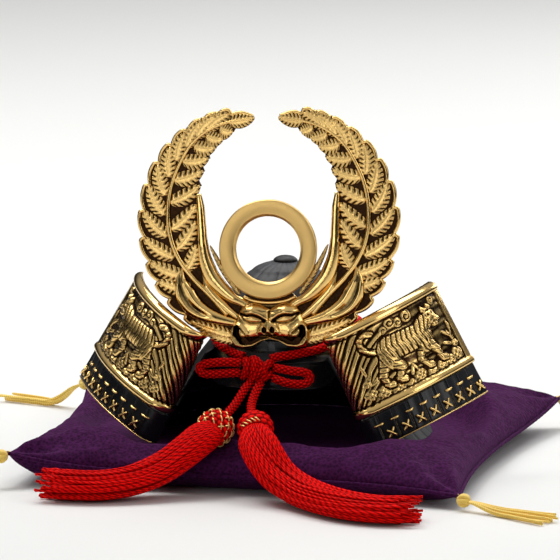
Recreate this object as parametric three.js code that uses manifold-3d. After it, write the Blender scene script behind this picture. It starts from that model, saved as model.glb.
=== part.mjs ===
// Kabuto samurai helmet ornament on a cushion, in millimetres, +Z up, front towards -Y.
// The origin lies on the floor, straight under the axis of the helmet bowl.
import * as THREE from 'three';
import { mergeVertices } from 'three/addons/utils/BufferGeometryUtils.js';
import Module from 'manifold-3d';

// Driving dimensions

const clearance = 0.3;
const wall = 1.2;

// Cushion: seam corners seen from above, heights and how far the sides pull in
const cushionCorners = {
  frontLeft: { x: -90, y: -83, z: 13 },
  frontRight: { x: 86, y: -92, z: 5 },
  backLeft: { x: -98, y: 80, z: 12 },
  backRight: { x: 93, y: 84, z: 12 },
};
const cushionSeamHeight = 7;
const cushionCrown = 17;
const cushionPullIn = 6;
const cushionCells = 17;
const cushionEdgeEase = 0.92;
const frontFullness = 0.9;
const backFullness = 1.1;
const seatHeight = 9.9;
const seatRadius = 71;
const seatFrontRelief = 13;
const seatFade = 12;
const turnUnderShares = [0.93, 0.8];

// Yellow corner tassels
const cornerKnotRadius = 2.6;
const cornerStrandLength = 41;
const cornerStrandRadius = 1.1;
const cornerStrandFan = 4;
const cornerLift = 0.5;
const cornerStrands = 3;

// Bowl, with its gathered folds, and the button on its crown
const bowlRadius = 26;
const bowlFootZ = 50.5;
const bowlHeight = 26.4;
const bowlFolds = 16;
const bowlFoldDepth = 0.6;
const bowlSkirt = 5;
const knobRadius = 4.7;
const knobHeight = 1.9;

// Waist band under the bowl
const waistHeight = 8;
const waistFlareHeight = 3.5;
const waistPlates = 11;
const waistGap = 0.5;
const waistThickness = 1.4;

// Visor
const visorHalfAngle = 52;
const visorDrop = 13.5;
const visorLean = 2.4;
const visorBead = 0.6;

// Neck guard: a cone of lames hung from the waist band
const neckRimRadius = 57;
const lameHeights = [17.5, 12.5, 9.5];
const lameOverlap = 2.2;
const lameTuck = 2.6;
const lastLameStart = 60;

// Turned-back front ends: plan of the top and bottom edges, from the outer end to the bend
const turnTop = { outX: 57.5, outY: -0.6, inX: 30.3, inY: -41.8, bulge: 5.5 };
const turnBottom = { outX: 80.8, outY: -5.4, inX: 49, inY: -43.5, bulge: 4 };
const turnBendRadius = 4.5;
const turnStub = 2.5;
const turnInnerX = 23.5;
const turnTopZ = 54.3;
const turnHeight = 52.5;
const turnRise = 0.486;
const goldShare = 0.73;
const rimBead = 1.5;
const rimWidth = 4.2;
const reliefHeight = 1.7;
const bandStep = 0.05;
const bandTopShare = 0.738;

// Crest: plane, lean and plate
const crestPivotZ = 57;
const crestY = -28.4;
const crestLeanBack = 6.2;
const crestTilt = 2.5;
const crestPlate = 1.6;
const crestShiftX = 0.4;

// Fern frond: sizes of one side, from the centre of its sweep
const frondCentreX = 6;
const frondCentreY = 45;
const frondReach = 44.2;
const outerLeaflets = 11;
const innerLeaflets = 8;
const outerLeafletWidth = 4.6;
const innerLeafletWidth = 4;
const leafletRelief = 1.0;
const midribWidth = 1.3;
const midribRelief = 1.3;
const midribFrom = -44;
const leafBury = 0.4;
const leafTipHalf = 0.06;
const hornRelief = 2.2;
const bladeRelief = 1.8;

// Ring of the crest
const ringRadius = 19.1;
const ringHoleRadius = 12.6;
const ringThickness = 2.6;
const ringCentreY = 28.6;

// Lion face of the crest
const faceHalfWidth = 12.4;
const faceHalfHeight = 8.2;
const faceDepth = 4.6;

// Crest prong, a plain tongue between the bowl and the crest
const prongWidth = 6;
const prongThickness = 0.8;
const prongHeight = 13;

// Red braided cord, bow and tassels
const cordDiameter = 3.4;
const cordSides = 8;
const knotHalf = [6.1, 3.3, 4.3];
const knotCentre = [-2.7, -38, 40.8];
const tasselHeadRadius = 7.1;
const tasselHeadLength = 13;
const tailGap = 0.35;
const tasselLocks = 6;
const lockSides = 4;
const lockRadius = 2.5;
const lockSpread = 0.64;
const coreShare = 0.86;
const skirtSteps = 5;

// Colours and finishes

function finish(color, roughness, metalness) {
  return new THREE.MeshStandardMaterial({ color, roughness, metalness });
}

const gold = finish(0xc9a050, 0.3, 1.0);
const satinGold = finish(0xd6ae5e, 0.42, 1.0);
const blackLacquer = finish(0x15161a, 0.3, 0.0);
const dullIron = finish(0x3a3b40, 0.5, 0.2);
const purpleCloth = finish(0x3f1d4a, 0.9, 0.0);
const redSilk = finish(0xc2151b, 0.7, 0.0);
const yellowSilk = finish(0xdcaa2f, 0.7, 0.0);

// Small helpers

const wasm = await Module();
wasm.setup();
const group = new THREE.Group();
const radians = THREE.MathUtils.degToRad;
const lerp = THREE.MathUtils.lerp;
const clamp = THREE.MathUtils.clamp;
const smooth = THREE.MathUtils.smoothstep;
const vec = (x, y, z) => new THREE.Vector3(x, y, z);

function place(name, geometry, material) {
  const mesh = new THREE.Mesh(geometry, material);
  mesh.name = name;
  group.add(mesh);
  return mesh;
}

function weld(points, faces) {
  const geometry = new THREE.BufferGeometry();
  const numbers = points.flatMap((p) => [p.x, p.y, p.z]);
  geometry.setAttribute('position', new THREE.Float32BufferAttribute(numbers, 3));
  geometry.setIndex(faces.flat());
  const welded = mergeVertices(geometry, 1e-4);
  const index = welded.index.array;
  const kept = [];
  for (let i = 0; i < index.length; i += 3) {
    const [a, b, c] = [index[i], index[i + 1], index[i + 2]];
    if (a !== b && b !== c && a !== c) kept.push(a, b, c);
  }
  if (signedVolume(welded.attributes.position, kept) < 0) kept.reverse();
  welded.setIndex(kept);
  return welded;
}

function signedVolume(position, index) {
  let sum = 0;
  const [a, b, c] = [vec(0, 0, 0), vec(0, 0, 0), vec(0, 0, 0)];
  for (let i = 0; i < index.length; i += 3) {
    a.fromBufferAttribute(position, index[i]);
    b.fromBufferAttribute(position, index[i + 1]);
    c.fromBufferAttribute(position, index[i + 2]);
    sum += a.dot(b.cross(c));
  }
  return sum;
}

// A wall between two grids of points of the same size: front[i][j] and back[i][j]
function wallBetween(front, back, closed = false) {
  const rows = front.length;
  const columns = front[0].length;
  const points = [...front.flat(), ...back.flat()];
  const at = (side, i, j) => side * rows * columns + (i % rows) * columns + j;
  const faces = [];
  const quad = (a, b, c, d) => faces.push([a, b, c], [a, c, d]);
  const spans = closed ? rows : rows - 1;
  for (let i = 0; i < spans; i += 1) {
    for (let j = 0; j < columns - 1; j += 1) {
      quad(at(0, i, j), at(0, i + 1, j), at(0, i + 1, j + 1), at(0, i, j + 1));
      quad(at(1, i, j), at(1, i, j + 1), at(1, i + 1, j + 1), at(1, i + 1, j));
    }
    quad(at(0, i, 0), at(1, i, 0), at(1, i + 1, 0), at(0, i + 1, 0));
    const last = columns - 1;
    quad(at(0, i, last), at(0, i + 1, last), at(1, i + 1, last), at(1, i, last));
  }
  if (!closed) {
    for (let j = 0; j < columns - 1; j += 1) {
      const end = rows - 1;
      quad(at(0, 0, j), at(0, 0, j + 1), at(1, 0, j + 1), at(1, 0, j));
      quad(at(0, end, j), at(1, end, j), at(1, end, j + 1), at(0, end, j + 1));
    }
  }
  return weld(points, faces);
}

// A body through rings of points, capped by fans at both ends
function loft(rings) {
  const count = rings[0].length;
  const points = rings.flat();
  const faces = [];
  for (let i = 0; i < rings.length - 1; i += 1) {
    for (let j = 0; j < count; j += 1) {
      const k = (j + 1) % count;
      const [a, b] = [i * count + j, i * count + k];
      faces.push([a, b, b + count], [a, b + count, a + count]);
    }
  }
  const end = (rings.length - 1) * count;
  for (let j = 1; j < count - 1; j += 1) {
    faces.push([0, j + 1, j], [end, end + j, end + j + 1]);
  }
  return weld(points, faces);
}

function toSolid(geometry) {
  const bare = geometry.clone();
  bare.deleteAttribute('normal');
  bare.deleteAttribute('uv');
  const merged = mergeVertices(bare, 1e-4);
  const mesh = new wasm.Mesh({
    numProp: 3,
    vertProperties: new Float32Array(merged.attributes.position.array),
    triVerts: new Uint32Array(merged.index.array),
  });
  return new wasm.Manifold(mesh);
}

function toGeometry(solid) {
  const mesh = solid.getMesh();
  const geometry = new THREE.BufferGeometry();
  const numbers = new Float32Array(mesh.vertProperties);
  geometry.setAttribute('position', new THREE.BufferAttribute(numbers, 3));
  geometry.setIndex(new THREE.BufferAttribute(new Uint32Array(mesh.triVerts), 1));
  return geometry;
}

const joined = (geometries) => toGeometry(geometries.map(toSolid).reduce((a, b) => a.add(b)));

function mirrored(geometry) {
  const copy = geometry.clone().applyMatrix4(new THREE.Matrix4().makeScale(-1, 1, 1));
  const index = Array.from(copy.index.array);
  copy.setIndex(index.reverse());
  return copy;
}

function tube(points, diameter, sides, steps) {
  const radius = diameter / 2;
  const section = new THREE.Shape();
  for (let k = 0; k < sides; k += 1) {
    const angle = (2 * Math.PI * (k + 0.5)) / sides;
    const [x, y] = [radius * Math.cos(angle), radius * Math.sin(angle)];
    if (k === 0) section.moveTo(x, y);
    else section.lineTo(x, y);
  }
  section.closePath();
  const path = new THREE.CatmullRomCurve3(points.map((p) => vec(...p)), false, 'centripetal');
  const body = new THREE.ExtrudeGeometry(section, { steps, extrudePath: path, bevelEnabled: false });
  body.deleteAttribute('normal');
  body.deleteAttribute('uv');
  return mergeVertices(body, 1e-4);
}

function ellipsoid(centre, half, across = 12, down = 8) {
  const ball = new THREE.SphereGeometry(1, across, down);
  ball.scale(half[0], half[1], half[2]);
  ball.translate(centre[0], centre[1], centre[2]);
  ball.deleteAttribute('normal');
  ball.deleteAttribute('uv');
  return mergeVertices(ball, 1e-4);
}

// Cushion

function overCorners(u, v, key) {
  const front = lerp(cushionCorners.frontLeft[key], cushionCorners.frontRight[key], (u + 1) / 2);
  const back = lerp(cushionCorners.backLeft[key], cushionCorners.backRight[key], (u + 1) / 2);
  return lerp(front, back, (v + 1) / 2);
}

function cushionPoint(u, v) {
  const x = overCorners(u, v, 'x') - u * Math.abs(u) * cushionPullIn * (1 - v * v);
  const y = overCorners(u, v, 'y') - v * Math.abs(v) * cushionPullIn * (1 - u * u);
  return [x, y];
}

function seamHeight(u, v) {
  const corner = Math.pow(Math.abs(u * v), 3);
  return lerp(cushionSeamHeight, overCorners(u, v, 'z'), corner);
}

function cushionTop(u, v) {
  const [x, y] = cushionPoint(u, v);
  const swell = Math.sqrt((1 - Math.pow(u, 4)) * (1 - Math.pow(v, 4)));
  const fullness = lerp(frontFullness, backFullness, smooth(v, -1, 0.6));
  const full = seamHeight(u, v) + cushionCrown * swell * fullness;
  const fromFront = Math.atan2(Math.abs(x), -y);
  const reach = seatRadius - seatFrontRelief * (1 - smooth(fromFront, radians(8), radians(34)));
  const press = 1 - smooth(Math.hypot(x, y), reach, reach + seatFade);
  return vec(x, y, lerp(full, Math.min(full, seatHeight), press));
}

function cushionUnder(u, v) {
  const [x, y] = cushionPoint(u, v);
  const edge = Math.max(Math.abs(u), Math.abs(v));
  const flat = turnUnderShares.at(-1);
  const lift = Math.pow(clamp((edge - flat) / (1 - flat), 0, 1), 2);
  return vec(x, y, lift * seamHeight(u, v));
}

// The top is a grid; below its border the cloth turns under to a flat base
function cushion() {
  const half = (Math.PI / 2) * cushionEdgeEase;
  const ease = (k) => Math.sin(half * ((2 * k) / cushionCells - 1)) / Math.sin(half);
  const side = cushionCells + 1;
  const points = [];
  const faces = [];
  for (let i = 0; i < side; i += 1) {
    for (let j = 0; j < side; j += 1) points.push(cushionTop(ease(i), ease(j)));
  }
  for (let i = 0; i < cushionCells; i += 1) {
    for (let j = 0; j < cushionCells; j += 1) {
      const at = i * side + j;
      faces.push([at, at + side, at + side + 1], [at, at + side + 1, at + 1]);
    }
  }
  const border = [];
  for (let k = 0; k < cushionCells; k += 1) border.push([k, 0]);
  for (let k = 0; k < cushionCells; k += 1) border.push([cushionCells, k]);
  for (let k = cushionCells; k > 0; k -= 1) border.push([k, cushionCells]);
  for (let k = cushionCells; k > 0; k -= 1) border.push([0, k]);
  let ring = border.map(([i, j]) => i * side + j);
  for (const share of turnUnderShares) {
    const next = border.map(([i, j]) => points.push(cushionUnder(ease(i) * share, ease(j) * share)) - 1);
    ring.forEach((a, k) => {
      const after = (k + 1) % ring.length;
      faces.push([a, next[k], next[after]], [a, next[after], ring[after]]);
    });
    ring = next;
  }
  const middle = points.push(vec(0, 0, 0)) - 1;
  ring.forEach((a, k) => faces.push([a, middle, ring[(k + 1) % ring.length]]));
  return weld(points, faces);
}

place('cushion', cushion(), purpleCloth);

// Yellow corner tassels: a knot on the corner and a lying bunch of strands
const cornerTassels = [
  { name: 'front_left', u: -1, v: -1, heading: -150 },
  { name: 'front_right', u: 1, v: -1, heading: -26 },
  { name: 'back_right', u: 1, v: 1, heading: 38 },
  { name: 'back_left', u: -1, v: 1, heading: 158 },
];

function cornerTassel(corner) {
  const tip = cushionTop(corner.u, corner.v);
  const out = vec(Math.cos(radians(corner.heading)), Math.sin(radians(corner.heading)), 0);
  const aside = vec(-out.y, out.x, 0);
  const away = vec(corner.u, corner.v, 0).normalize();
  const knot = tip.clone().addScaledVector(away, cornerKnotRadius + clearance);
  knot.z = Math.max(tip.z - 1, cornerKnotRadius + cornerLift);
  const size = [cornerKnotRadius, cornerKnotRadius, cornerKnotRadius];
  const pieces = [ellipsoid(knot.toArray(), size, 7, 4)];
  for (let k = 0; k < cornerStrands; k += 1) {
    const fan = (k - (cornerStrands - 1) / 2) * cornerStrandFan;
    const route = [0, 0.2, 0.4, 0.7, 1].map((share) => {
      const at = knot.clone().addScaledVector(out, share * cornerStrandLength);
      at.addScaledVector(aside, fan * share);
      const drop = smooth(share, 0, 0.4);
      return [at.x, at.y, lerp(knot.z, cornerStrandRadius + cornerLift, drop)];
    });
    pieces.push(tube(route, 2 * cornerStrandRadius, 4, 4));
  }
  return joined(pieces);
}

for (const corner of cornerTassels) {
  place(`cushion_tassel_${corner.name}`, cornerTassel(corner), yellowSilk);
}

// Bowl: a thin dome with folds gathered towards the crown, open below
function bowl() {
  const across = bowlFolds * 2;
  const rises = [-1, 0, 0.35, 0.65, 0.88, 1];
  const surface = (inset) => {
    const rows = [];
    for (let i = 0; i < across; i += 1) {
      const angle = (2 * Math.PI * i) / across;
      const fold = i % 2 === 0 ? bowlFoldDepth / 2 : -bowlFoldDepth / 2;
      rows.push(rises.map((rise) => {
        const up = Math.max(rise, 0);
        const gathered = rise > 0 && rise < 1;
        const gather = gathered ? fold * Math.sin(Math.PI * Math.min(1, rise + 0.25)) : 0;
        const radius = (bowlRadius - inset) * Math.sqrt(1 - up * up) + gather;
        const z = bowlFootZ + (rise < 0 ? rise * bowlSkirt : up * (bowlHeight - inset));
        return vec(radius * Math.sin(angle), -radius * Math.cos(angle), z);
      }));
    }
    return rows;
  };
  return wallBetween(surface(0), surface(wall), true);
}

place('bowl', bowl(), blackLacquer);

function lathe(profile, segments) {
  const turned = new THREE.LatheGeometry(profile.map(([r, z]) => new THREE.Vector2(r, z)), segments);
  turned.rotateX(Math.PI / 2);
  turned.deleteAttribute('normal');
  turned.deleteAttribute('uv');
  const merged = mergeVertices(turned, 1e-4);
  const points = [];
  for (let i = 0; i < merged.attributes.position.count; i += 1) {
    points.push(new THREE.Vector3().fromBufferAttribute(merged.attributes.position, i));
  }
  const faces = [];
  for (let i = 0; i < merged.index.count; i += 3) {
    faces.push([merged.index.getX(i), merged.index.getX(i + 1), merged.index.getX(i + 2)]);
  }
  return weld(points, faces);
}

const crownZ = bowlFootZ + bowlHeight + clearance;
place('crown_knob', lathe([
  [0, crownZ],
  [knobRadius, crownZ],
  [knobRadius, crownZ + knobHeight * 0.35],
  [knobRadius * 0.8, crownZ + knobHeight * 0.8],
  [0, crownZ + knobHeight],
], 12), blackLacquer);

// Waist band: upright ring with a flared foot that carries the visor and the neck guard
const waistInner = bowlRadius + waistGap;
const waistOuter = waistInner + waistThickness;
const waistTopZ = bowlFootZ - clearance;
const waistFootZ = waistTopZ - waistHeight;
const flareTopZ = waistFootZ + waistFlareHeight;
const lameTops = [flareTopZ];
const lameBottoms = [];
for (const height of lameHeights) {
  lameBottoms.push(lameTops.at(-1) - height);
  lameTops.push(lameBottoms.at(-1) + lameOverlap);
}
const neckRimZ = lameBottoms.at(-1);
const neckTopRadius = waistOuter + waistGap + wall;
const neckSlope = (neckRimRadius - neckTopRadius) / (flareTopZ - neckRimZ);
const flareRadius = waistOuter + neckSlope * waistFlareHeight;

place('waist_band', lathe([
  [waistInner, waistTopZ],
  [waistInner, flareTopZ],
  [flareRadius - wall, waistFootZ],
  [flareRadius, waistFootZ],
  [waistOuter, flareTopZ],
  [waistOuter, waistTopZ],
  [waistInner, waistTopZ],
], waistPlates * 2), blackLacquer);

// Visor: a curved lip round the front of the waist band, dropped and leaning out
function visor() {
  const steps = 12;
  const spread = (drop) => neckSlope * Math.min(drop, waistFlareHeight)
    + visorLean * Math.max(0, (drop - waistFlareHeight) / (visorDrop - waistFlareHeight));
  const surface = (inset) => {
    const rows = [];
    for (let i = 0; i <= steps; i += 1) {
      const share = (2 * i) / steps - 1;
      const angle = radians(share * visorHalfAngle);
      const fall = visorDrop * (1 - 0.75 * Math.pow(Math.abs(share), 8));
      const drops = [0, 0.12 * fall, Math.min(0.9 * fall, waistFlareHeight), fall];
      rows.push(drops.map((drop, k) => {
        const bead = k === 0 && inset === 0 ? visorBead : 0;
        const radius = neckTopRadius - inset + bead + spread(drop);
        return vec(radius * Math.sin(angle), -radius * Math.cos(angle), flareTopZ - drop);
      }));
    }
    return rows;
  };
  return wallBetween(surface(0), surface(wall));
}

place('visor', visor(), blackLacquer);

// Plan path of a turned-back end at a share t of its height, from the outer end inwards
function turnShape(t) {
  const mix = (key) => lerp(turnTop[key], turnBottom[key], t);
  const outer = vec(mix('outX'), mix('outY'), 0);
  const inner = vec(mix('inX'), mix('inY'), 0);
  const chord = inner.clone().sub(outer);
  const half = chord.length() / 2;
  const bulge = mix('bulge');
  const radius = (half * half + bulge * bulge) / (2 * bulge);
  const along = chord.clone().normalize();
  const front = vec(-along.y, along.x, 0);
  if (front.y > 0) front.negate();
  const centre = outer.clone().add(inner).multiplyScalar(0.5).addScaledVector(front, bulge - radius);
  const startAngle = Math.atan2(outer.y - centre.y, outer.x - centre.x);
  const endAngle = Math.atan2(inner.y - centre.y, inner.x - centre.x);
  const toBend = inner.clone().sub(centre).normalize();
  const bend = inner.clone().addScaledVector(toBend, -turnBendRadius);
  return { centre, radius, startAngle, endAngle, toBend, bend };
}

const panelArcSteps = 7;
const panelBendSteps = 3;

// Points and outward directions along the turned-back end, at height share t
function turnPath(t) {
  const shape = turnShape(t);
  const path = [];
  for (let i = 0; i <= panelArcSteps; i += 1) {
    const angle = lerp(shape.startAngle, shape.endAngle, i / panelArcSteps);
    const out = vec(Math.cos(angle), Math.sin(angle), 0);
    path.push({ at: shape.centre.clone().addScaledVector(out, shape.radius), out });
  }
  const from = Math.atan2(shape.toBend.y, shape.toBend.x);
  for (let i = 1; i <= panelBendSteps; i += 1) {
    const angle = lerp(from, -Math.PI, i / panelBendSteps);
    const out = vec(Math.cos(angle), Math.sin(angle), 0);
    path.push({ at: shape.bend.clone().addScaledVector(out, turnBendRadius), out });
  }
  const last = path[path.length - 1];
  path.push({ at: last.at.clone().add(vec(0, turnStub, 0)), out: last.out.clone() });
  return path;
}

function turnZ(x, t) {
  return turnTopZ - t * turnHeight + turnRise * (x - turnInnerX);
}

// Gold panel: plain rims, and a sunk field that carries the relief
function turnPanel() {
  const rim = rimWidth / (turnHeight * goldShare);
  const heights = [0, 0.5 * rim, rim, 0.5, 1 - rim, 1 - 0.5 * rim, 1];
  const paths = heights.map((share) => turnPath(share * goldShare));
  const steps = paths[0].length;
  const surface = (back) => {
    const rows = [];
    for (let i = 0; i < steps; i += 1) {
      rows.push(heights.map((share, k) => {
        const { at, out } = paths[k][i];
        const proud = k === 1 || k === heights.length - 2 ? rimBead : 0;
        const depth = back ? -wall : proud;
        const point = at.clone().addScaledVector(out, depth);
        point.z = turnZ(at.x, share * goldShare);
        return point;
      }));
    }
    return rows;
  };
  return wallBetween(surface(false), surface(true));
}

// Prowling tiger of the relief, as low rounded forms laid on the panel's field
const tigerForms = [
  { along: 0.42, down: 0.42, long: 12, high: 5.2, turn: -8 },
  { along: 0.76, down: 0.52, long: 5.2, high: 4.6, turn: -20 },
  { along: 0.26, down: 0.6, long: 2.6, high: 6, turn: 12 },
  { along: 0.66, down: 0.7, long: 2.2, high: 5.2, turn: 10 },
];

function onPanel(along, down) {
  const path = turnPath(down * goldShare);
  const spot = along * panelArcSteps;
  const i = Math.min(Math.floor(spot), panelArcSteps - 1);
  const at = path[i].at.clone().lerp(path[i + 1].at, spot - i);
  const out = path[i].out.clone().lerp(path[i + 1].out, spot - i).normalize();
  at.z = turnZ(at.x, down * goldShare);
  return { at, out };
}

function tigerForm(form) {
  const { at, out } = onPanel(form.along, form.down);
  const ahead = onPanel(form.along + 0.05, form.down).at.sub(at).normalize();
  const up = new THREE.Vector3().crossVectors(ahead, out).normalize();
  if (up.z < 0) up.negate();
  const body = new THREE.SphereGeometry(1, 7, 4);
  body.scale(form.long, form.high, reliefHeight);
  body.rotateZ(radians(form.turn));
  const basis = new THREE.Matrix4().makeBasis(ahead, up, new THREE.Vector3().crossVectors(ahead, up));
  body.applyMatrix4(basis);
  body.translate(at.x, at.y, at.z);
  body.deleteAttribute('normal');
  body.deleteAttribute('uv');
  return mergeVertices(body, 1e-4);
}

// Black band of laced plates below the panel
function turnBand() {
  const heights = [bandTopShare, (bandTopShare + 1) / 2, 1];
  const paths = heights.map((t) => turnPath(t));
  const surface = (inset) => {
    const rows = [];
    for (let i = 0; i < paths[0].length; i += 1) {
      rows.push(heights.map((t, k) => {
        const { at, out } = paths[k][i];
        const point = at.clone().addScaledVector(out, -inset - (k === 0 ? bandStep : 0));
        point.z = turnZ(at.x, t);
        return point;
      }));
    }
    return rows;
  };
  return wallBetween(surface(0), surface(wall));
}

const panelRight = joined([turnPanel(), ...tigerForms.map(tigerForm)]);
const bandRight = turnBand();
place('turnback_panel_right', panelRight, gold);
place('turnback_panel_left', mirrored(panelRight), gold);
place('turnback_band_right', bandRight, blackLacquer);
place('turnback_band_left', mirrored(bandRight), blackLacquer);

// Neck guard lames: from the bend of one turned-back end round the back to the other
const neckJoinAngle = 66;
const neckLeadSteps = 5;
const neckArcSteps = 11;
const neckLeadShare = 0.4;

function neckRadius(z) {
  return neckTopRadius + (flareTopZ - z) * neckSlope;
}

function neckPlan(t, radius) {
  const join = turnPath(t).at(-1).at;
  const start = vec(join.x + wall, join.y + clearance, 0);
  const turn = radians(neckJoinAngle);
  const onto = vec(radius * Math.sin(turn), -radius * Math.cos(turn), 0);
  const along = vec(Math.cos(turn), Math.sin(turn), 0);
  const reach = start.distanceTo(onto) * 0.4;
  const leave = start.clone().add(vec(0, reach, 0));
  const arrive = onto.clone().addScaledVector(along, -reach);
  const lead = new THREE.CubicBezierCurve3(start, leave, arrive, onto).getPoints(neckLeadSteps);
  const path = lead.map((at, i) => ({ at, share: (i / neckLeadSteps) * neckLeadShare }));
  for (let i = 1; i <= neckArcSteps; i += 1) {
    const angle = lerp(turn, Math.PI, i / neckArcSteps);
    const at = vec(radius * Math.sin(angle), -radius * Math.cos(angle), 0);
    path.push({ at, share: lerp(neckLeadShare, 1, i / neckArcSteps) });
  }
  return path;
}

function wholePath(half) {
  const other = half.slice(0, -1).map(({ at, share }) => ({ at: vec(-at.x, at.y, at.z), share }));
  return [...other, ...half.slice().reverse()];
}

function neckLame(edges) {
  const plans = edges.map((edge) => wholePath(neckPlan(edge.t, neckRadius(edge.z) - edge.tuck)));
  const surface = (inset) => {
    const rows = [];
    for (let i = 0; i < plans[0].length; i += 1) {
      rows.push(plans.map((plan, k) => {
        const { at, share } = plan[i];
        const before = plan[Math.max(i - 1, 0)].at;
        const after = plan[Math.min(i + 1, plan.length - 1)].at;
        const along = after.clone().sub(before).normalize();
        const out = vec(along.y, -along.x, 0);
        if (out.dot(at) < 0) out.negate();
        return at.clone().addScaledVector(out, -inset).setZ(edges[k].height(share));
      }));
    }
    return rows;
  };
  return wallBetween(surface(0), surface(wall));
}

const bendX = (t) => turnPath(t).at(-1).at.x;

// Heights of the lames' edges: they leave the turned-back ends low and level off at the sides
const goldBottomFront = turnZ(bendX(goldShare), goldShare);
const firstBottom = (share) => lerp(goldBottomFront, lameBottoms[0], smooth(share, 0, 0.3));
const secondTop = (share) => firstBottom(share) - 2 * clearance
  + (lameOverlap + 2 * clearance) * smooth(share, 0.4, 0.6);
const secondBottom = (share) => lerp(turnZ(bendX(1), 1), lameBottoms[1], smooth(share, 0, 0.25));

place('neck_lame_1', neckLame([
  { t: 0, z: lameTops[0], tuck: 0, height: () => lameTops[0] },
  { t: goldShare, z: lameBottoms[0], tuck: 0, height: firstBottom },
]), blackLacquer);

place('neck_lame_2', neckLame([
  { t: goldShare, z: lameTops[1], tuck: lameTuck, height: secondTop },
  { t: 1, z: lameBottoms[1], tuck: 0, height: secondBottom },
]), blackLacquer);

function lastLame() {
  const steps = 24;
  const surface = (inset) => {
    const rows = [];
    for (let i = 0; i <= steps; i += 1) {
      const angle = radians(lerp(lastLameStart, 360 - lastLameStart, i / steps));
      rows.push([lameTops[2], neckRimZ].map((z, k) => {
        const radius = neckRadius(z) - inset - (k === 0 ? lameTuck : 0);
        return vec(radius * Math.sin(angle), -radius * Math.cos(angle), z);
      }));
    }
    return rows;
  };
  return wallBetween(surface(0), surface(wall));
}

place('neck_lame_3', lastLame(), blackLacquer);

// Crest, drawn flat in its own plane and then leaned back: x across, y up, z towards the front
const crest = new THREE.Group();
crest.position.set(crestShiftX, crestY, crestPivotZ);
crest.rotation.set(Math.PI / 2 - radians(crestLeanBack), 0, 0);
const crestTurn = new THREE.Group();
crestTurn.rotation.z = radians(crestTilt);
crest.add(crestTurn);
group.add(crest);

function placeOnCrest(name, geometry, material) {
  const mesh = new THREE.Mesh(geometry, material);
  mesh.name = name;
  crestTurn.add(mesh);
}

// Frond widths at angles round its sweep, as shares of its reach
const frondTable = [
  { angle: -66, outer: 1.17, mid: 0.95, inner: 0.86 },
  { angle: -46, outer: 1.125, mid: 0.85, inner: 0.72 },
  { angle: -25, outer: 1.065, mid: 0.79, inner: 0.53 },
  { angle: 0, outer: 1.0, mid: 0.756, inner: 0.486 },
  { angle: 25, outer: 0.945, mid: 0.756, inner: 0.492 },
  { angle: 50, outer: 0.897, mid: 0.758, inner: 0.565 },
  { angle: 75, outer: 0.865, mid: 0.76, inner: 0.655 },
  { angle: 93, outer: 0.77, mid: 0.763, inner: 0.756 },
];

function frondRadius(angle, key) {
  const next = frondTable.findIndex((row) => row.angle >= angle);
  if (next <= 0) return frondTable[next < 0 ? frondTable.length - 1 : 0][key] * frondReach;
  const [low, high] = [frondTable[next - 1], frondTable[next]];
  return lerp(low[key], high[key], (angle - low.angle) / (high.angle - low.angle)) * frondReach;
}

function frondPoint(angle, radius) {
  return [frondCentreX + radius * Math.cos(radians(angle)), frondCentreY + radius * Math.sin(radians(angle))];
}

const outerFrom = -60;
const innerFrom = -22;
const plateInnerFrom = 8;
const frondTip = 92;
const leafletsEnd = frondTip - 10;
const notchDepth = 1.5;

// Angle of the k-th of a row of leaflets; the part says where between its neighbours
const leafletAngle = (from, k, count) => lerp(from, leafletsEnd, k / count);

// Outline of the cast plate, right half, from the middle of the chin round the frond to the brow
function plateOutline() {
  const outline = new THREE.Shape();
  outline.moveTo(-1, -5);
  outline.lineTo(9, -8);
  outline.quadraticCurveTo(19, -9.5, 24, -3.5);
  for (let k = 0; k < outerLeaflets; k += 1) {
    const angle = leafletAngle(outerFrom, k + 0.55, outerLeaflets);
    const notch = leafletAngle(outerFrom, k + 0.9, outerLeaflets);
    outline.lineTo(...frondPoint(angle, frondRadius(angle, 'outer')));
    outline.lineTo(...frondPoint(notch, frondRadius(notch, 'outer') - notchDepth));
  }
  outline.lineTo(...frondPoint(frondTip, frondRadius(frondTip, 'mid')));
  for (let k = innerLeaflets - 1; k >= 0; k -= 1) {
    const angle = leafletAngle(plateInnerFrom, k + 0.6, innerLeaflets);
    const notch = leafletAngle(plateInnerFrom, k + 0.2, innerLeaflets);
    outline.lineTo(...frondPoint(angle, frondRadius(angle, 'inner')));
    outline.lineTo(...frondPoint(notch, frondRadius(notch, 'inner') + notchDepth));
  }
  outline.lineTo(26.9, 49.6);
  outline.quadraticCurveTo(24.4, 43, 24.6, 32.3);
  outline.lineTo(22.4, 28);
  outline.lineTo(18.8, 21.5);
  outline.lineTo(14.4, 14.9);
  outline.lineTo(11, 9.2);
  outline.lineTo(8, 12.4);
  outline.lineTo(-1, 12.8);
  outline.closePath();
  return outline;
}

const shortLeaf = [0, 1, 2];
const longLeaf = [0, 0.5, 1, 1.5, 2];

// A ridged leaf laid on the plate, with its widest place at a share of its length
function leaf({ from, to, width, relief, bow = 0, widest = 0.5 }, stations = longLeaf) {
  const [dx, dy] = [to[0] - from[0], to[1] - from[1]];
  const length = Math.hypot(dx, dy);
  const across = [-dy / length, dx / length];
  const low = crestPlate / 2 - leafBury;
  const rings = stations.map((part) => {
    const s = part < 1 ? part * widest : widest + (part - 1) * (1 - widest);
    const swell = Math.sin((Math.PI / 2) * (part < 1 ? part : 2 - part));
    const half = Math.max(leafTipHalf, (width / 2) * swell);
    const off = bow * Math.sin(Math.PI * s);
    const [cx, cy] = [from[0] + dx * s + across[0] * off, from[1] + dy * s + across[1] * off];
    return [
      vec(cx + across[0] * half, cy + across[1] * half, low),
      vec(cx, cy, crestPlate / 2 + relief * Math.max(0.12, swell)),
      vec(cx - across[0] * half, cy - across[1] * half, low),
    ];
  });
  return loft(rings);
}

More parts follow.
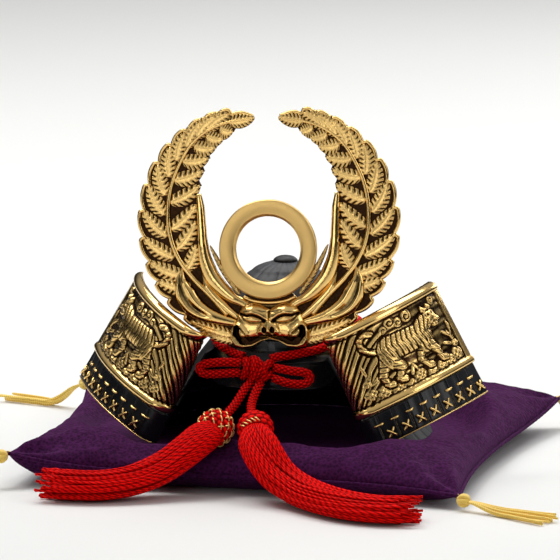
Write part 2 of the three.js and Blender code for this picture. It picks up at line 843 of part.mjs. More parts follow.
// Long leaves beside the ring, right half: horn, two polished blades, beaded leaf and lowest leaf
const longLeaves = [
  { from: [11.5, 5.5], to: [26.6, 49.2], width: 5.6, relief: hornRelief, bow: -7.2, widest: 0.35 },
  { from: [14, 1.4], to: [33.9, 21.3], width: 5.4, relief: bladeRelief, bow: -2.2 },
  { from: [14, 0], to: [33.2, 19], width: 4.6, relief: bladeRelief, bow: -6.2, widest: 0.55 },
  { from: [13.9, 9.4], to: [25, 31.4], width: 2.6, relief: leafletRelief, bow: -0.8 },
  { from: [17.4, -3.4], to: [27.8, 1.4], width: 5, relief: leafletRelief, bow: -0.6, widest: 0.4 },
];

function leafletRow(count, from, key, width, lag, inset) {
  const row = [];
  for (let k = 0; k < count; k += 1) {
    const angle = leafletAngle(from, k + 0.55, count);
    const root = angle - lag;
    const base = frondPoint(root, frondRadius(root, 'mid') + inset);
    const tip = frondPoint(angle, frondRadius(angle, key) - 0.7 * inset);
    row.push(leaf({ from: base, to: tip, width, relief: leafletRelief }, shortLeaf));
  }
  return row;
}

function midrib() {
  const steps = 10;
  const rings = [];
  for (let i = 0; i <= steps; i += 1) {
    const angle = lerp(midribFrom, frondTip, i / steps);
    const radius = frondRadius(angle, 'mid');
    const half = (midribWidth / 2) * (1 - 0.6 * (i / steps));
    const low = crestPlate / 2 - leafBury;
    const high = crestPlate / 2 + midribRelief * (1 - 0.5 * (i / steps));
    const edge = (shift, z) => vec(...frondPoint(angle, radius + shift), z);
    rings.push([edge(half, low), edge(0, high), edge(-half, low)]);
  }
  return loft(rings);
}

function frondRight() {
  const sheet = { depth: crestPlate, bevelEnabled: false, curveSegments: 3 };
  const plate = new THREE.ExtrudeGeometry(plateOutline(), sheet);
  plate.translate(0, 0, -crestPlate / 2);
  plate.deleteAttribute('normal');
  plate.deleteAttribute('uv');
  return joined([
    mergeVertices(plate, 1e-4),
    ...leafletRow(outerLeaflets, outerFrom, 'outer', outerLeafletWidth, 14, 1),
    ...leafletRow(innerLeaflets, innerFrom, 'inner', innerLeafletWidth, 12, -1),
    midrib(),
    ...longLeaves.map((one) => leaf(one)),
  ]);
}

const frond = frondRight();
placeOnCrest('crest_fronds', joined([frond, mirrored(frond)]), gold);

// Ring, standing just in front of the fronds
const ringBack = crestPlate / 2 + clearance;
const faceBack = ringBack + leafletRelief;
function ring() {
  const bevel = 0.5;
  const body = lathe([
    [ringHoleRadius + bevel, 0],
    [ringHoleRadius, bevel],
    [ringHoleRadius, ringThickness - bevel],
    [ringHoleRadius + bevel, ringThickness],
    [ringRadius - bevel, ringThickness],
    [ringRadius, ringThickness - bevel],
    [ringRadius, bevel],
    [ringRadius - bevel, 0],
    [ringHoleRadius + bevel, 0],
  ], 24);
  body.translate(0, ringCentreY, ringBack);
  return body;
}
placeOnCrest('crest_ring', ring(), satinGold);

// Lion face: rounded forms joined into one casting, with sunk eyes
const faceForms = [
  { at: [0, -0.4, 0], half: [faceHalfWidth, faceHalfHeight - 0.6, faceDepth * 0.7], across: 12, down: 6 },
  { at: [-6.4, 3.4, 1.6], half: [6, 3.6, 2.6], across: 8, down: 5 },
  { at: [6.4, 3.4, 1.6], half: [6, 3.6, 2.6], across: 8, down: 5 },
  { at: [0, -1.6, 2.2], half: [3.4, 3, 2.4], across: 8, down: 5 },
  { at: [0, -3.6, 2], half: [9.8, 1.7, 2.2], across: 8, down: 4 },
  { at: [-12.2, -5, 0.6], half: [3.9, 4.4, 2.6], across: 7, down: 5 },
  { at: [12.2, -5, 0.6], half: [3.9, 4.4, 2.6], across: 7, down: 5 },
];
const eyeSocket = { at: [6.6, 1.6, 4.6], half: [4.4, 1.7, 1.9] };
const eyeBall = { at: [6.5, 1.6, 2.4], half: [3.6, 1.3, 1] };

function faceForm({ at, half, across = 8, down = 4 }, side = 1) {
  return toSolid(ellipsoid([side * at[0], at[1], faceBack + at[2]], half, across, down));
}

function face() {
  let solid = faceForms.map((form) => faceForm(form)).reduce((a, b) => a.add(b));
  for (const side of [-1, 1]) {
    solid = solid.subtract(faceForm(eyeSocket, side)).add(faceForm(eyeBall, side));
  }
  const depth = 20;
  const behind = new THREE.BoxGeometry(4 * faceHalfWidth, 4 * faceHalfHeight, depth);
  behind.translate(0, 0, crestPlate / 2 + clearance - depth / 2);
  return toGeometry(solid.subtract(toSolid(behind)));
}
placeOnCrest('crest_face', face(), gold);

// Prong: a plain tongue that stands on the waist band behind the crest
function prong() {
  const body = new THREE.BoxGeometry(prongWidth, prongHeight, prongThickness);
  const foot = (waistTopZ + clearance - crestPivotZ) / Math.cos(radians(crestLeanBack));
  const behind = crestPlate / 2 + clearance + prongThickness / 2;
  body.translate(0, foot + prongHeight / 2 + clearance, -behind);
  return body;
}
placeOnCrest('crest_prong', prong(), dullIron);

// Red cord: the loop round the bowl, both loops of the bow, the knot and the two tails
const loopRoute = [
  [-8.7, -35.4, 45], [-12.4, -32.6, 45.4], [-17, -28.6, 46.4], [-21, -24.2, 47.6], [-23.8, -19.6, 49.6],
  [-26.4, -12.4, 51.8], [-28.4, 0, 52.4], [-25.4, 12.4, 52.4], [-17, 22.8, 52.4], [0, 28.4, 52.4],
  [17, 22.8, 52.4], [25.4, 12.4, 53], [28.4, 0, 53.6], [27, -11.6, 52.6], [23.4, -19.8, 49.6],
  [19.2, -25, 47.4], [14.2, -28.8, 46.4], [8.6, -32.2, 45.6], [4.4, -34.4, 45.2], [1.8, -35.7, 44.5],
];
const bowLeftRoute = [
  [-9.3, -38.8, 43.1], [-12, -39.8, 43.4], [-15.7, -40.4, 43.4], [-19.7, -40.4, 43], [-23.4, -40.2, 42.2],
  [-25.1, -40.2, 40.6], [-23.4, -40.6, 38.9], [-19.8, -41, 38.8], [-16, -41, 39.1], [-12.4, -40.6, 39.4],
  [-9.4, -39.8, 39.5],
];
const bowRightRoute = [
  [4, -37.6, 41.4], [7, -38.6, 41.2], [10.8, -39.4, 40.8], [14.5, -39.6, 40.6], [17.4, -39.6, 39.8],
  [18.2, -40, 38.1], [16.4, -40.8, 36.4], [13, -41.2, 36.1], [9.6, -41.2, 36.4], [6.4, -40.6, 37.1],
  [3.8, -39.8, 37.8],
];

const tailLeftRoute = [
  [-5, -39.9, 36.2], [-6.3, -43.6, 34.1], [-7.1, -49, 31.9], [-8, -55, 29.6], [-8.9, -61, 28],
];
const tailRightRoute = [
  [-1.2, -40.1, 36.2], [-1.7, -44, 34], [-1.9, -49, 31.9], [-1.4, -55, 30.2], [-0.2, -61, 28.8],
];
place('chin_cord', tube(loopRoute, cordDiameter, cordSides, 27), redSilk);
place('bow_loop_left', tube(bowLeftRoute, cordDiameter, cordSides, 12), redSilk);
place('bow_loop_right', tube(bowRightRoute, cordDiameter, cordSides, 11), redSilk);
place('bow_knot', ellipsoid(knotCentre, knotHalf, 10, 6), redSilk);

// Tassels: a braided head and a skirt of locks that lies over the cushion's edge onto the floor
const tassels = [
  {
    name: 'tassel_left',
    head: [-11.6, -72.4, 23.8],
    lean: [-0.3, -0.85, -0.45],
    tail: tailLeftRoute,
    route: [
      [-11.6, -73, 23.4], [-15.4, -80.6, 20.8], [-20.6, -85.8, 16.4], [-27.6, -90.6, 11.4],
      [-37.6, -98, 7.4], [-48.6, -103, 5.9], [-58.6, -104.6, 5.9], [-69.4, -103.6, 5.9],
    ],
    halfWide: [5.4, 7.4, 7.8, 8.4, 8.6, 8.6, 8.6, 8.8],
    halfHigh: [5.4, 5.6, 5.6, 5.4, 5.2, 5.2, 5.2, 5.4],
  },
  {
    name: 'tassel_right',
    head: [4, -72.4, 24],
    lean: [0.35, -0.78, -0.52],
    tail: tailRightRoute,
    route: [
      [4, -73, 23.6], [7.2, -82.4, 20.4], [12, -89, 15.4], [18.4, -94, 10], [27.4, -99.6, 6.4],
      [39.6, -110, 5], [52, -118.6, 4.8], [63, -121.4, 4.8], [74, -119.6, 4.8],
    ],
    halfWide: [5.4, 7.6, 8.4, 9, 9.6, 10, 10.4, 10.6, 11],
    halfHigh: [5.4, 5.8, 5.6, 5.2, 4.6, 4.4, 4.4, 4.4, 4.2],
  },
];

// A tail ends just short of the top of its tassel's head
function tailEnd(one) {
  const lean = vec(...one.lean).normalize();
  return vec(...one.head).addScaledVector(lean, -tasselHeadLength / 2 - tailGap).toArray();
}

// The skirt's centre, sideways and upward directions and half sizes at a share s of its length
function skirtAt(one, s) {
  const spine = new THREE.CatmullRomCurve3(one.route.map((p) => vec(...p)), false, 'centripetal');
  const last = one.route.length - 1;
  const spot = Math.min(s * last, last - 1e-6);
  const i = Math.floor(spot);
  const size = (list) => lerp(list[i], list[i + 1], spot - i);
  const at = spine.getPoint(s);
  const along = spine.getTangent(s);
  const aside = vec(-along.y, along.x, 0).normalize();
  const above = new THREE.Vector3().crossVectors(along, aside).normalize();
  if (above.z < 0) above.negate();
  return { at, aside, above, wide: size(one.halfWide), high: size(one.halfHigh) };
}

function skirtPoint(one, s, turn, share) {
  const { at, aside, above, wide, high } = skirtAt(one, s);
  at.addScaledVector(aside, share * wide * Math.cos(turn));
  return at.addScaledVector(above, share * high * Math.sin(turn));
}

function skirtCore(one) {
  const rings = [];
  for (let i = 0; i <= skirtSteps; i += 1) {
    const ring = [];
    for (let k = 0; k < tasselLocks; k += 1) {
      const along = lerp(0.01, 0.99, i / skirtSteps);
      ring.push(skirtPoint(one, along, (2 * Math.PI * k) / tasselLocks, coreShare));
    }
    rings.push(ring);
  }
  return loft(rings);
}

function lock(one, turn) {
  const route = [];
  for (let i = 0; i <= skirtSteps; i += 1) {
    const point = skirtPoint(one, i / skirtSteps, turn, lockSpread);
    route.push([point.x, point.y, Math.max(point.z, lockRadius + 0.2)]);
  }
  return tube(route, 2 * lockRadius, lockSides, skirtSteps);
}

function tassel(one) {
  const head = ellipsoid([0, 0, 0], [tasselHeadRadius, tasselHeadRadius, tasselHeadLength / 2], 9, 6);
  const lean = vec(...one.lean).normalize();
  head.applyQuaternion(new THREE.Quaternion().setFromUnitVectors(vec(0, 0, -1), lean));
  head.translate(...one.head);
  const pieces = [head, skirtCore(one)];
  for (let k = 0; k < tasselLocks; k += 1) {
    pieces.push(lock(one, (2 * Math.PI * (k + 0.5)) / tasselLocks));
  }
  return joined(pieces);
}

for (const one of tassels) {
  const tail = [...one.tail, tailEnd(one)];
  place(one.name, tassel(one), redSilk);
  place(one.name.replace('tassel', 'cord_tail'), tube(tail, cordDiameter, cordSides, 5), redSilk);
}

export default group;
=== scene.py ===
"""Looks of the kabuto ornament: gilt crest and panels, black lacquer, red cord and a purple cushion.

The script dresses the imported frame. Sizes are in millimetres until a point is laid, then in metres.
"""

import math

import bmesh
import bpy
import numpy as np
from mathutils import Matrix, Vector, noise


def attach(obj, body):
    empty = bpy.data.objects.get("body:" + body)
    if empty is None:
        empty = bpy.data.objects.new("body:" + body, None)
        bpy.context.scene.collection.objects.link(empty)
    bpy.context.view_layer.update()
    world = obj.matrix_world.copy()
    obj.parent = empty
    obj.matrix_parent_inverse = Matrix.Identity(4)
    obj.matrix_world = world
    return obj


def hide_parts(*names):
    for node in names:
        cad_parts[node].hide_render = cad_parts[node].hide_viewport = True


bl_info = {
    "name": "Kabuto ornament",
    "version": (1, 0, 0),
    "blender": (4, 5, 0),
    "location": "View3D > Sidebar > Kabuto",
    "description": "Builds the crest, panels, guard, cord, tassels and cushion of a display helmet",
    "category": "Object",
}

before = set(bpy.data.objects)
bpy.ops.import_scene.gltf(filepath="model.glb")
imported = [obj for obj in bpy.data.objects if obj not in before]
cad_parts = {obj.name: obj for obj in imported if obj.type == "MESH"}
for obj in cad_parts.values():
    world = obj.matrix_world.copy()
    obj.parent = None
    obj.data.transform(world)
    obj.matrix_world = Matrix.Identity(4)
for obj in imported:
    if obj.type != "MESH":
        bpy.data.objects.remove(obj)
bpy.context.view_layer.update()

MM = 0.001


# Settings


class KabutoSizes(bpy.types.PropertyGroup):
    """Sizes a user may change"""

    cord_diameter: bpy.props.FloatProperty(
        name="Cord thickness",
        description="Thickness of the red braided cord",
        default=0.0034,
        unit="LENGTH",
    )
    strand_diameter: bpy.props.FloatProperty(
        name="Strand thickness",
        description="Thickness of one twisted strand of a red tassel",
        default=0.00100,
        unit="LENGTH",
    )
    relief_depth: bpy.props.FloatProperty(
        name="Relief depth",
        description="How far the tiger relief stands up from the panel",
        default=0.0015,
        unit="LENGTH",
    )
    leaflet_depth: bpy.props.FloatProperty(
        name="Leaflet depth",
        description="How far the fern leaflets stand up from the crest plate",
        default=0.0010,
        unit="LENGTH",
    )
    cloth_wrinkle: bpy.props.FloatProperty(
        name="Cloth wrinkles",
        description="Height of the folds in the cushion cloth",
        default=0.0015,
        unit="LENGTH",
    )


class KabutoColours(bpy.types.PropertyGroup):
    """Colours a user may change"""

    gold: bpy.props.FloatVectorProperty(
        name="Gold",
        description="Colour of the gilt castings",
        default=(0.88, 0.58, 0.205),
        subtype="COLOR",
    )
    patina: bpy.props.FloatVectorProperty(
        name="Patina",
        description="Dark colour left in the recesses of the castings",
        default=(0.016, 0.007, 0.003),
        subtype="COLOR",
    )
    lacquer: bpy.props.FloatVectorProperty(
        name="Lacquer",
        description="Colour of the lacquered plates",
        default=(0.005, 0.0055, 0.007),
        subtype="COLOR",
    )
    cord: bpy.props.FloatVectorProperty(
        name="Cord red",
        description="Colour of the cord and the tassels",
        default=(0.84, 0.004, 0.003),
        subtype="COLOR",
    )
    cloth: bpy.props.FloatVectorProperty(
        name="Cloth purple",
        description="Colour of the cushion cloth",
        default=(0.027, 0.0042, 0.028),
        subtype="COLOR",
    )
    yellow: bpy.props.FloatVectorProperty(
        name="Tassel yellow",
        description="Colour of the corner tassels",
        default=(1.0, 0.70, 0.13),
        subtype="COLOR",
    )


def sizes():
    return bpy.context.scene.kabuto_sizes


def colours():
    return bpy.context.scene.kabuto_colours


# Materials


def fill_ramp(node, stops):
    """Put (place, colour) stops on a colour ramp"""
    points = node.color_ramp.elements
    while len(points) < len(stops):
        points.new(0.5)
    for point, (place, colour) in zip(points, stops):
        point.position = place
        point.color = (*colour, 1.0)


class Nodes:
    """A small hand for wiring one material"""

    def __init__(self, name):
        self.material = bpy.data.materials.new(name)
        self.material.use_nodes = True
        self.tree = self.material.node_tree
        self.tree.nodes.clear()
        self.output = self.add("ShaderNodeOutputMaterial")
        self.shader = self.add("ShaderNodeBsdfPrincipled")
        self.link(self.shader.outputs[0], self.output.inputs[0])

    def add(self, kind, **values):
        node = self.tree.nodes.new(kind)
        for key, value in values.items():
            setattr(node, key, value)
        return node

    def link(self, a, b):
        self.tree.links.new(a, b)

    def set(self, **values):
        for key, value in values.items():
            self.shader.inputs[key.replace("_", " ")].default_value = value

    def coordinates(self, kind="Object"):
        return self.add("ShaderNodeTexCoord").outputs[kind]

    def noise(self, vector, scale, detail=3.0, roughness=0.5):
        node = self.add("ShaderNodeTexNoise")
        node.inputs["Scale"].default_value = scale
        node.inputs["Detail"].default_value = detail
        node.inputs["Roughness"].default_value = roughness
        self.link(vector, node.inputs["Vector"])
        return node.outputs["Fac"]

    def attribute(self, name):
        return self.add("ShaderNodeAttribute", attribute_name=name).outputs["Fac"]

    def ramp(self, factor, stops):
        node = self.add("ShaderNodeValToRGB")
        fill_ramp(node, stops)
        self.link(factor, node.inputs["Fac"])
        return node.outputs["Color"]

    def mix(self, factor, a, b):
        node = self.add("ShaderNodeMix", data_type="RGBA")
        self.put(node.inputs["Factor"], factor)
        self.put(node.inputs["A"], a)
        self.put(node.inputs["B"], b)
        return node.outputs["Result"]

    def put(self, socket, value):
        if isinstance(value, bpy.types.NodeSocket):
            self.link(value, socket)
        elif isinstance(value, tuple):
            socket.default_value = (*value, 1.0)
        else:
            socket.default_value = value

    def math(self, operation, a, b=0.0, clamp=False):
        node = self.add("ShaderNodeMath", operation=operation, use_clamp=clamp)
        self.put(node.inputs[0], a)
        self.put(node.inputs[1], b)
        return node.outputs[0]

    def spread(self, value, low, high, to_low, to_high):
        node = self.add("ShaderNodeMapRange")
        self.link(value, node.inputs["Value"])
        keys = ("From Min", "From Max", "To Min", "To Max")
        for key, number in zip(keys, (low, high, to_low, to_high)):
            node.inputs[key].default_value = number
        return node.outputs["Result"]

    def bump(self, height, strength, distance):
        node = self.add("ShaderNodeBump")
        node.inputs["Strength"].default_value = strength
        node.inputs["Distance"].default_value = distance
        self.link(height, node.inputs["Height"])
        self.link(node.outputs["Normal"], self.shader.inputs["Normal"])

    def colour(self, value):
        self.put(self.shader.inputs["Base Color"], value)

    def roughness(self, value):
        self.put(self.shader.inputs["Roughness"], value)


def tone(colour, factor):
    return tuple(channel * factor for channel in colour)


def antique_gold():
    """Gilt casting: bright where it stands up, brown patina where it is cut in"""
    n = Nodes("antique_gold")
    gold = tuple(colours().gold)
    patina = tuple(colours().patina)
    place = n.coordinates()
    fine = n.noise(place, 900.0, 4.0)
    broad = n.noise(place, 120.0, 3.0)
    relief = n.math("ADD", n.attribute("relief"), n.spread(fine, 0.3, 0.7, -0.10, 0.10), clamp=True)
    tint = n.mix(n.spread(broad, 0.35, 0.65, 0.0, 1.0), tone(gold, 0.88), tone(gold, 1.08))
    stops = [(0.0, patina), (0.30, tone(patina, 2.4))]
    stops += [(0.58, tone(gold, 0.38)), (0.85, tone(gold, 0.8))]
    edge = n.ramp(relief, stops)
    n.colour(n.mix(n.spread(relief, 0.62, 0.95, 0.0, 1.0), edge, tint))
    polish = n.attribute("polish")
    satin = n.spread(fine, 0.3, 0.7, 0.26, 0.36)
    bright = n.spread(fine, 0.3, 0.7, 0.10, 0.16)
    rough = n.add("ShaderNodeMix", data_type="FLOAT")
    n.link(polish, rough.inputs["Factor"])
    n.link(satin, rough.inputs["A"])
    n.link(bright, rough.inputs["B"])
    n.roughness(rough.outputs["Result"])
    n.set(Metallic=1.0)
    n.bump(fine, 0.12, 0.0002)
    return n.material


def satin_gold():
    """Evenly brushed gilt of the ring"""
    n = Nodes("satin_gold")
    gold = tuple(colours().gold)
    place = n.coordinates()
    fine = n.noise(place, 1600.0, 2.0)
    broad = n.noise(place, 90.0, 2.0)
    n.colour(n.mix(n.spread(broad, 0.3, 0.7, 0.0, 1.0), tone(gold, 0.78), tone(gold, 0.86)))
    n.roughness(n.spread(fine, 0.3, 0.7, 0.30, 0.38))
    n.set(Metallic=1.0)
    n.bump(fine, 0.05, 0.0001)
    return n.material


def black_lacquer(name="black_lacquer", low=0.20, high=0.32, lift=1.0, shine=0.30):
    """Glossy black plates with a faint blue sheen and dust in the finish"""
    n = Nodes(name)
    lacquer = tuple(colours().lacquer)
    place = n.coordinates()
    broad = n.noise(place, 60.0, 4.0)
    fine = n.noise(place, 1400.0, 2.0)
    cloudy = n.spread(broad, 0.35, 0.65, 0.0, 1.0)
    n.colour(n.mix(cloudy, tone(lacquer, lift), tone(lacquer, 1.6 * lift)))
    n.roughness(n.spread(broad, 0.3, 0.7, low, high))
    n.set(Specular_IOR_Level=shine)
    n.bump(fine, 0.06, 0.0001)
    return n.material


def guard_lacquer():
    """The duller lacquer of the neck guard"""
    return black_lacquer("guard_lacquer", 0.42, 0.55, 0.8, 0.10)


def satin_iron():
    """Dark iron of the hidden prong"""
    n = Nodes("satin_iron")
    place = n.coordinates()
    grain = n.noise(place, 700.0, 4.0)
    n.colour(n.mix(grain, (0.035, 0.036, 0.042), (0.085, 0.088, 0.10)))
    n.roughness(n.spread(grain, 0.3, 0.7, 0.42, 0.58))
    n.set(Specular_IOR_Level=0.5)
    n.bump(grain, 0.25, 0.0002)
    return n.material


def bowl_satin():
    """Dark grey leather-like satin of the bowl, darker in its gathers"""
    n = Nodes("bowl_satin")
    place = n.coordinates()
    grain = n.noise(place, 520.0, 4.0)
    relief = n.attribute("relief")
    base = n.mix(grain, (0.020, 0.021, 0.025), (0.036, 0.038, 0.044))
    n.colour(n.mix(n.spread(relief, 0.2, 0.75, 0.0, 1.0), (0.004, 0.004, 0.005), base))
    n.roughness(n.spread(grain, 0.3, 0.7, 0.44, 0.58))
    n.set(Specular_IOR_Level=0.28)
    n.bump(grain, 0.18, 0.0002)
    return n.material


def braid_silk():
    """Red braid: painted highlight on the lumps, painted shade in the crossings, fine threads along
    each lump
    """
    n = Nodes("braid_silk")
    red = tuple(colours().cord)
    place = n.coordinates()
    threads = n.noise(place, 2600.0, 2.0)
    relief = n.attribute("relief")
    shade = n.math("ADD", relief, n.spread(threads, 0.3, 0.7, -0.12, 0.12), clamp=True)
    # Painted shade near black in the crossings and a painted highlight brighter than the cord red on
    # the lumps
    n.colour(n.ramp(shade, [(0.0, tone(red, 0.03)), (0.45, tone(red, 0.35)), (1.0, tone(red, 1.2))]))
    n.roughness(0.55)
    n.set(Specular_IOR_Level=0.03)
    n.bump(threads, 0.35, 0.0002)
    return n.material


def strand_silk():
    """Red tassel strands: a twist that winds round each strand, with painted shade in its grooves, on
    the inner ring and on the core, and a random tone per strand
    """
    n = Nodes("strand_silk")
    red = tuple(colours().cord)
    uv = n.add("ShaderNodeSeparateXYZ")
    n.link(n.coordinates("UV"), uv.inputs[0])
    turn = n.math(
        "ADD", n.math("MULTIPLY", uv.outputs["X"], 2.0), n.math("MULTIPLY", uv.outputs["Y"], 30.0)
    )
    turn = n.math("ADD", turn, n.math("MULTIPLY", n.attribute("relief"), 37.0))
    twist = n.math("ABSOLUTE", n.math("SINE", n.math("MULTIPLY", turn, math.pi)))
    fuzz = n.noise(n.coordinates(), 1800.0, 2.0)
    shade = n.math("ADD", twist, n.spread(fuzz, 0.3, 0.7, -0.15, 0.15), clamp=True)
    # relief: painted shade on the inner ring and the core, and a random tone for each strand
    shade = n.math("MULTIPLY", shade, n.attribute("relief"))
    n.colour(n.ramp(shade, [(0.0, tone(red, 0.12)), (0.55, tone(red, 0.70)), (1.0, tone(red, 1.15))]))
    n.roughness(0.6)
    n.set(Specular_IOR_Level=0.03)
    n.bump(twist, 0.5, 0.0002)
    return n.material


def metal_thread():
    """Gold thread of the stitches"""
    n = Nodes("metal_thread")
    place = n.coordinates()
    grain = n.noise(place, 3000.0, 2.0)
    n.colour(n.mix(grain, (0.75, 0.46, 0.12), (0.95, 0.70, 0.30)))
    n.roughness(n.spread(grain, 0.3, 0.7, 0.25, 0.42))
    n.set(Metallic=0.85)
    n.bump(grain, 0.3, 0.0002)
    return n.material


def yellow_silk():
    """Twisted yellow silk of the corner tassels, with painted shade in the grooves of the twist"""
    n = Nodes("yellow_silk")
    yellow = tuple(colours().yellow)
    uv = n.add("ShaderNodeSeparateXYZ")
    n.link(n.coordinates("UV"), uv.inputs[0])
    turn = n.math("ADD", uv.outputs["X"], n.math("MULTIPLY", uv.outputs["Y"], 44.0))
    twist = n.math("ABSOLUTE", n.math("SINE", n.math("MULTIPLY", turn, math.pi)))
    # Painted shade: darker yellow in the grooves of the twist
    n.colour(n.ramp(twist, [(0.0, tone(yellow, 0.62)), (0.6, yellow), (1.0, yellow)]))
    n.roughness(0.5)
    n.set(Sheen_Weight=0.3, Sheen_Roughness=0.4)
    n.bump(twist, 0.4, 0.0002)
    return n.material


def purple_crepe():
    """Purple crepe: a fine pebbled weave, a soft sheen and slow colour changes"""
    n = Nodes("purple_crepe")
    cloth = tuple(colours().cloth)
    place = n.coordinates()
    pebble = n.noise(place, 620.0, 4.0, 0.7)
    weave = n.add("ShaderNodeTexVoronoi", feature="F1")
    weave.inputs["Scale"].default_value = 800.0
    n.link(place, weave.inputs["Vector"])
    broad = n.noise(place, 28.0, 4.0)
    grain = n.math(
        "ADD", n.math("MULTIPLY", pebble, 0.6), n.math("MULTIPLY", weave.outputs["Distance"], 0.5)
    )
    deep = n.mix(n.spread(broad, 0.3, 0.7, 0.0, 1.0), tone(cloth, 0.80), tone(cloth, 1.20))
    n.colour(n.mix(n.spread(grain, 0.40, 0.72, 0.0, 1.0), deep, tone(cloth, 2.3)))
    n.roughness(0.82)
    n.set(Sheen_Weight=0.06, Sheen_Roughness=0.4, Sheen_Tint=(0.8, 0.3, 0.85, 1.0))
    n.set(Specular_IOR_Level=0.04)
    n.bump(grain, 0.6, 0.0005)
    return n.material


def pale_floor():
    """Pale studio floor"""
    n = Nodes("pale_floor")
    place = n.coordinates()
    n.colour(n.mix(n.noise(place, 4.0), (0.72, 0.72, 0.705), (0.74, 0.74, 0.725)))
    n.roughness(0.55)
    n.set(Specular_IOR_Level=0.3)
    return n.material


MATERIALS = {}


def look_of(make):
    """The material that a function makes, made once"""
    if make not in MATERIALS:
        MATERIALS[make] = make()
    return MATERIALS[make]


# Meshes


def new_mesh():
    """An empty bmesh with the layers that the materials read"""
    mesh = bmesh.new()
    mesh.loops.layers.uv.new("UVMap")
    # relief sets how dark the colour is: patina in the hollows of the gilt, darker gathers on the bowl,
    # painted shade and painted highlight on the red silk
    mesh.verts.layers.float.new("relief")
    mesh.verts.layers.float.new("polish")
    return mesh


def laid_grid(mesh, columns, rows, lay, wrap=True, ends=True):
    """Lay a grid where lay(u, v) says: (point in mm, relief, polish). Wrapped, u closes on itself."""
    relief = mesh.verts.layers.float["relief"]
    polish = mesh.verts.layers.float["polish"]
    made = bmesh.ops.create_grid(
        mesh, x_segments=columns, y_segments=rows, size=1.0, calc_uvs=True
    )["verts"]
    wide = max(vert.co.x for vert in made)
    high = max(vert.co.y for vert in made)
    rims = {0: [], 1: []}
    for vert in made:
        u = 0.5 + 0.5 * vert.co.x / wide
        v = 0.5 + 0.5 * vert.co.y / high
        point, vert[relief], vert[polish] = lay(u, v)
        vert.co = Vector(point) * MM
        if v < 1e-5 or v > 1 - 1e-5:
            rims[round(v)].append(vert)
    if wrap:
        bmesh.ops.remove_doubles(mesh, verts=made, dist=1e-7)
        if ends:
            for rim in rims.values():
                alive = [vert for vert in rim if vert.is_valid]
                edges = {edge for vert in alive for edge in vert.link_edges if edge.is_boundary}
                if len(edges) > 2:
                    bmesh.ops.holes_fill(mesh, edges=list(edges), sides=0)


def piece_of(name, mesh, make, smooth=True, outward=True):
    """Turn a bmesh into an object with one material"""
    if outward:
        bmesh.ops.recalc_face_normals(mesh, faces=mesh.faces[:])
    data = bpy.data.meshes.new(name)
    mesh.to_mesh(data)
    mesh.free()
    if smooth:
        data.shade_smooth()
    data.materials.append(look_of(make))
    piece = bpy.data.objects.new(name, data)
    bpy.context.scene.collection.objects.link(piece)
    return piece


def add_piece(name, mesh, make, slot, *nodes, sharp=None, outward=True):
    """Add a piece that rides the body and stands for nodes, which it hides; sharp is an edge angle;
    slot is not used
    """
    piece = piece_of(name, mesh, make, outward=outward)
    if sharp:
        piece.data.set_sharp_from_angle(angle=math.radians(sharp))
    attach(piece, "root")
    if nodes:
        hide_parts(*nodes)
    return piece


def lerp(a, b, t):
    return a + (b - a) * t


def bell(x, width):
    """A bell curve that is 1 at 0"""
    return np.exp(-((x / width) ** 2))


def at_share(ring, u):
    """The entry of a closed ring at a share of the way round"""
    return ring[int(round(u * len(ring))) % len(ring)]


def about_axis(radius, angle, z):
    """The point at a bearing from the front, in mm"""
    return np.array((radius * math.sin(angle), -radius * math.cos(angle), z))


def smooth(x, low, high):
    """0 below low, 1 above high, and an even slope between"""
    t = min(max((x - low) / (high - low), 0.0), 1.0)
    return t * t * (3 - 2 * t)


def catmull(points, dense=24):
    """Centripetal Catmull-Rom line through points, as many close points"""
    p = [np.array(q, float) for q in points]
    p = [2 * p[0] - p[1]] + p + [2 * p[-1] - p[-2]]
    line = []
    for i in range(1, len(p) - 2):
        a, b, c, d = p[i - 1], p[i], p[i + 1], p[i + 2]
        t0 = 0.0
        t1 = t0 + max(np.linalg.norm(b - a), 1e-6) ** 0.5
        t2 = t1 + max(np.linalg.norm(c - b), 1e-6) ** 0.5
        t3 = t2 + max(np.linalg.norm(d - c), 1e-6) ** 0.5
        for t in np.linspace(t1, t2, dense, endpoint=False):
            ab = (t1 - t) / (t1 - t0) * a + (t - t0) / (t1 - t0) * b
            bc = (t2 - t) / (t2 - t1) * b + (t - t1) / (t2 - t1) * c
            cd = (t3 - t) / (t3 - t2) * c + (t - t2) / (t3 - t2) * d
            abc = (t2 - t) / (t2 - t0) * ab + (t - t0) / (t2 - t0) * bc
            bcd = (t3 - t) / (t3 - t1) * bc + (t - t1) / (t3 - t1) * cd
            line.append((t2 - t) / (t2 - t1) * abc + (t - t1) / (t2 - t1) * bcd)
    line.append(p[-2])
    return np.array(line)


def even(line, count):
    """The same line as count + 1 evenly spaced points, with its length"""
    steps = np.linalg.norm(np.diff(line, axis=0), axis=1)
    far = np.concatenate([[0.0], np.cumsum(steps)])
    spots = np.linspace(0.0, far[-1], count + 1)
    return np.stack([np.interp(spots, far, line[:, k]) for k in range(line.shape[1])], axis=1), far[-1]


def carried_frames(line):
    """A sideways and an upward direction at each point, carried along without twist"""
    along = np.gradient(line, axis=0)
    along /= np.linalg.norm(along, axis=1)[:, None]
    side = np.cross(along[0], (0.0, 0.0, 1.0))
    if np.linalg.norm(side) < 0.05:
        side = np.cross(along[0], (1.0, 0.0, 0.0))
    sides = []
    for direction in along:
        side = side - direction * np.dot(side, direction)
        side = side / np.linalg.norm(side)
        sides.append(side)
    sides = np.array(sides)
    return sides, np.cross(sides, along)


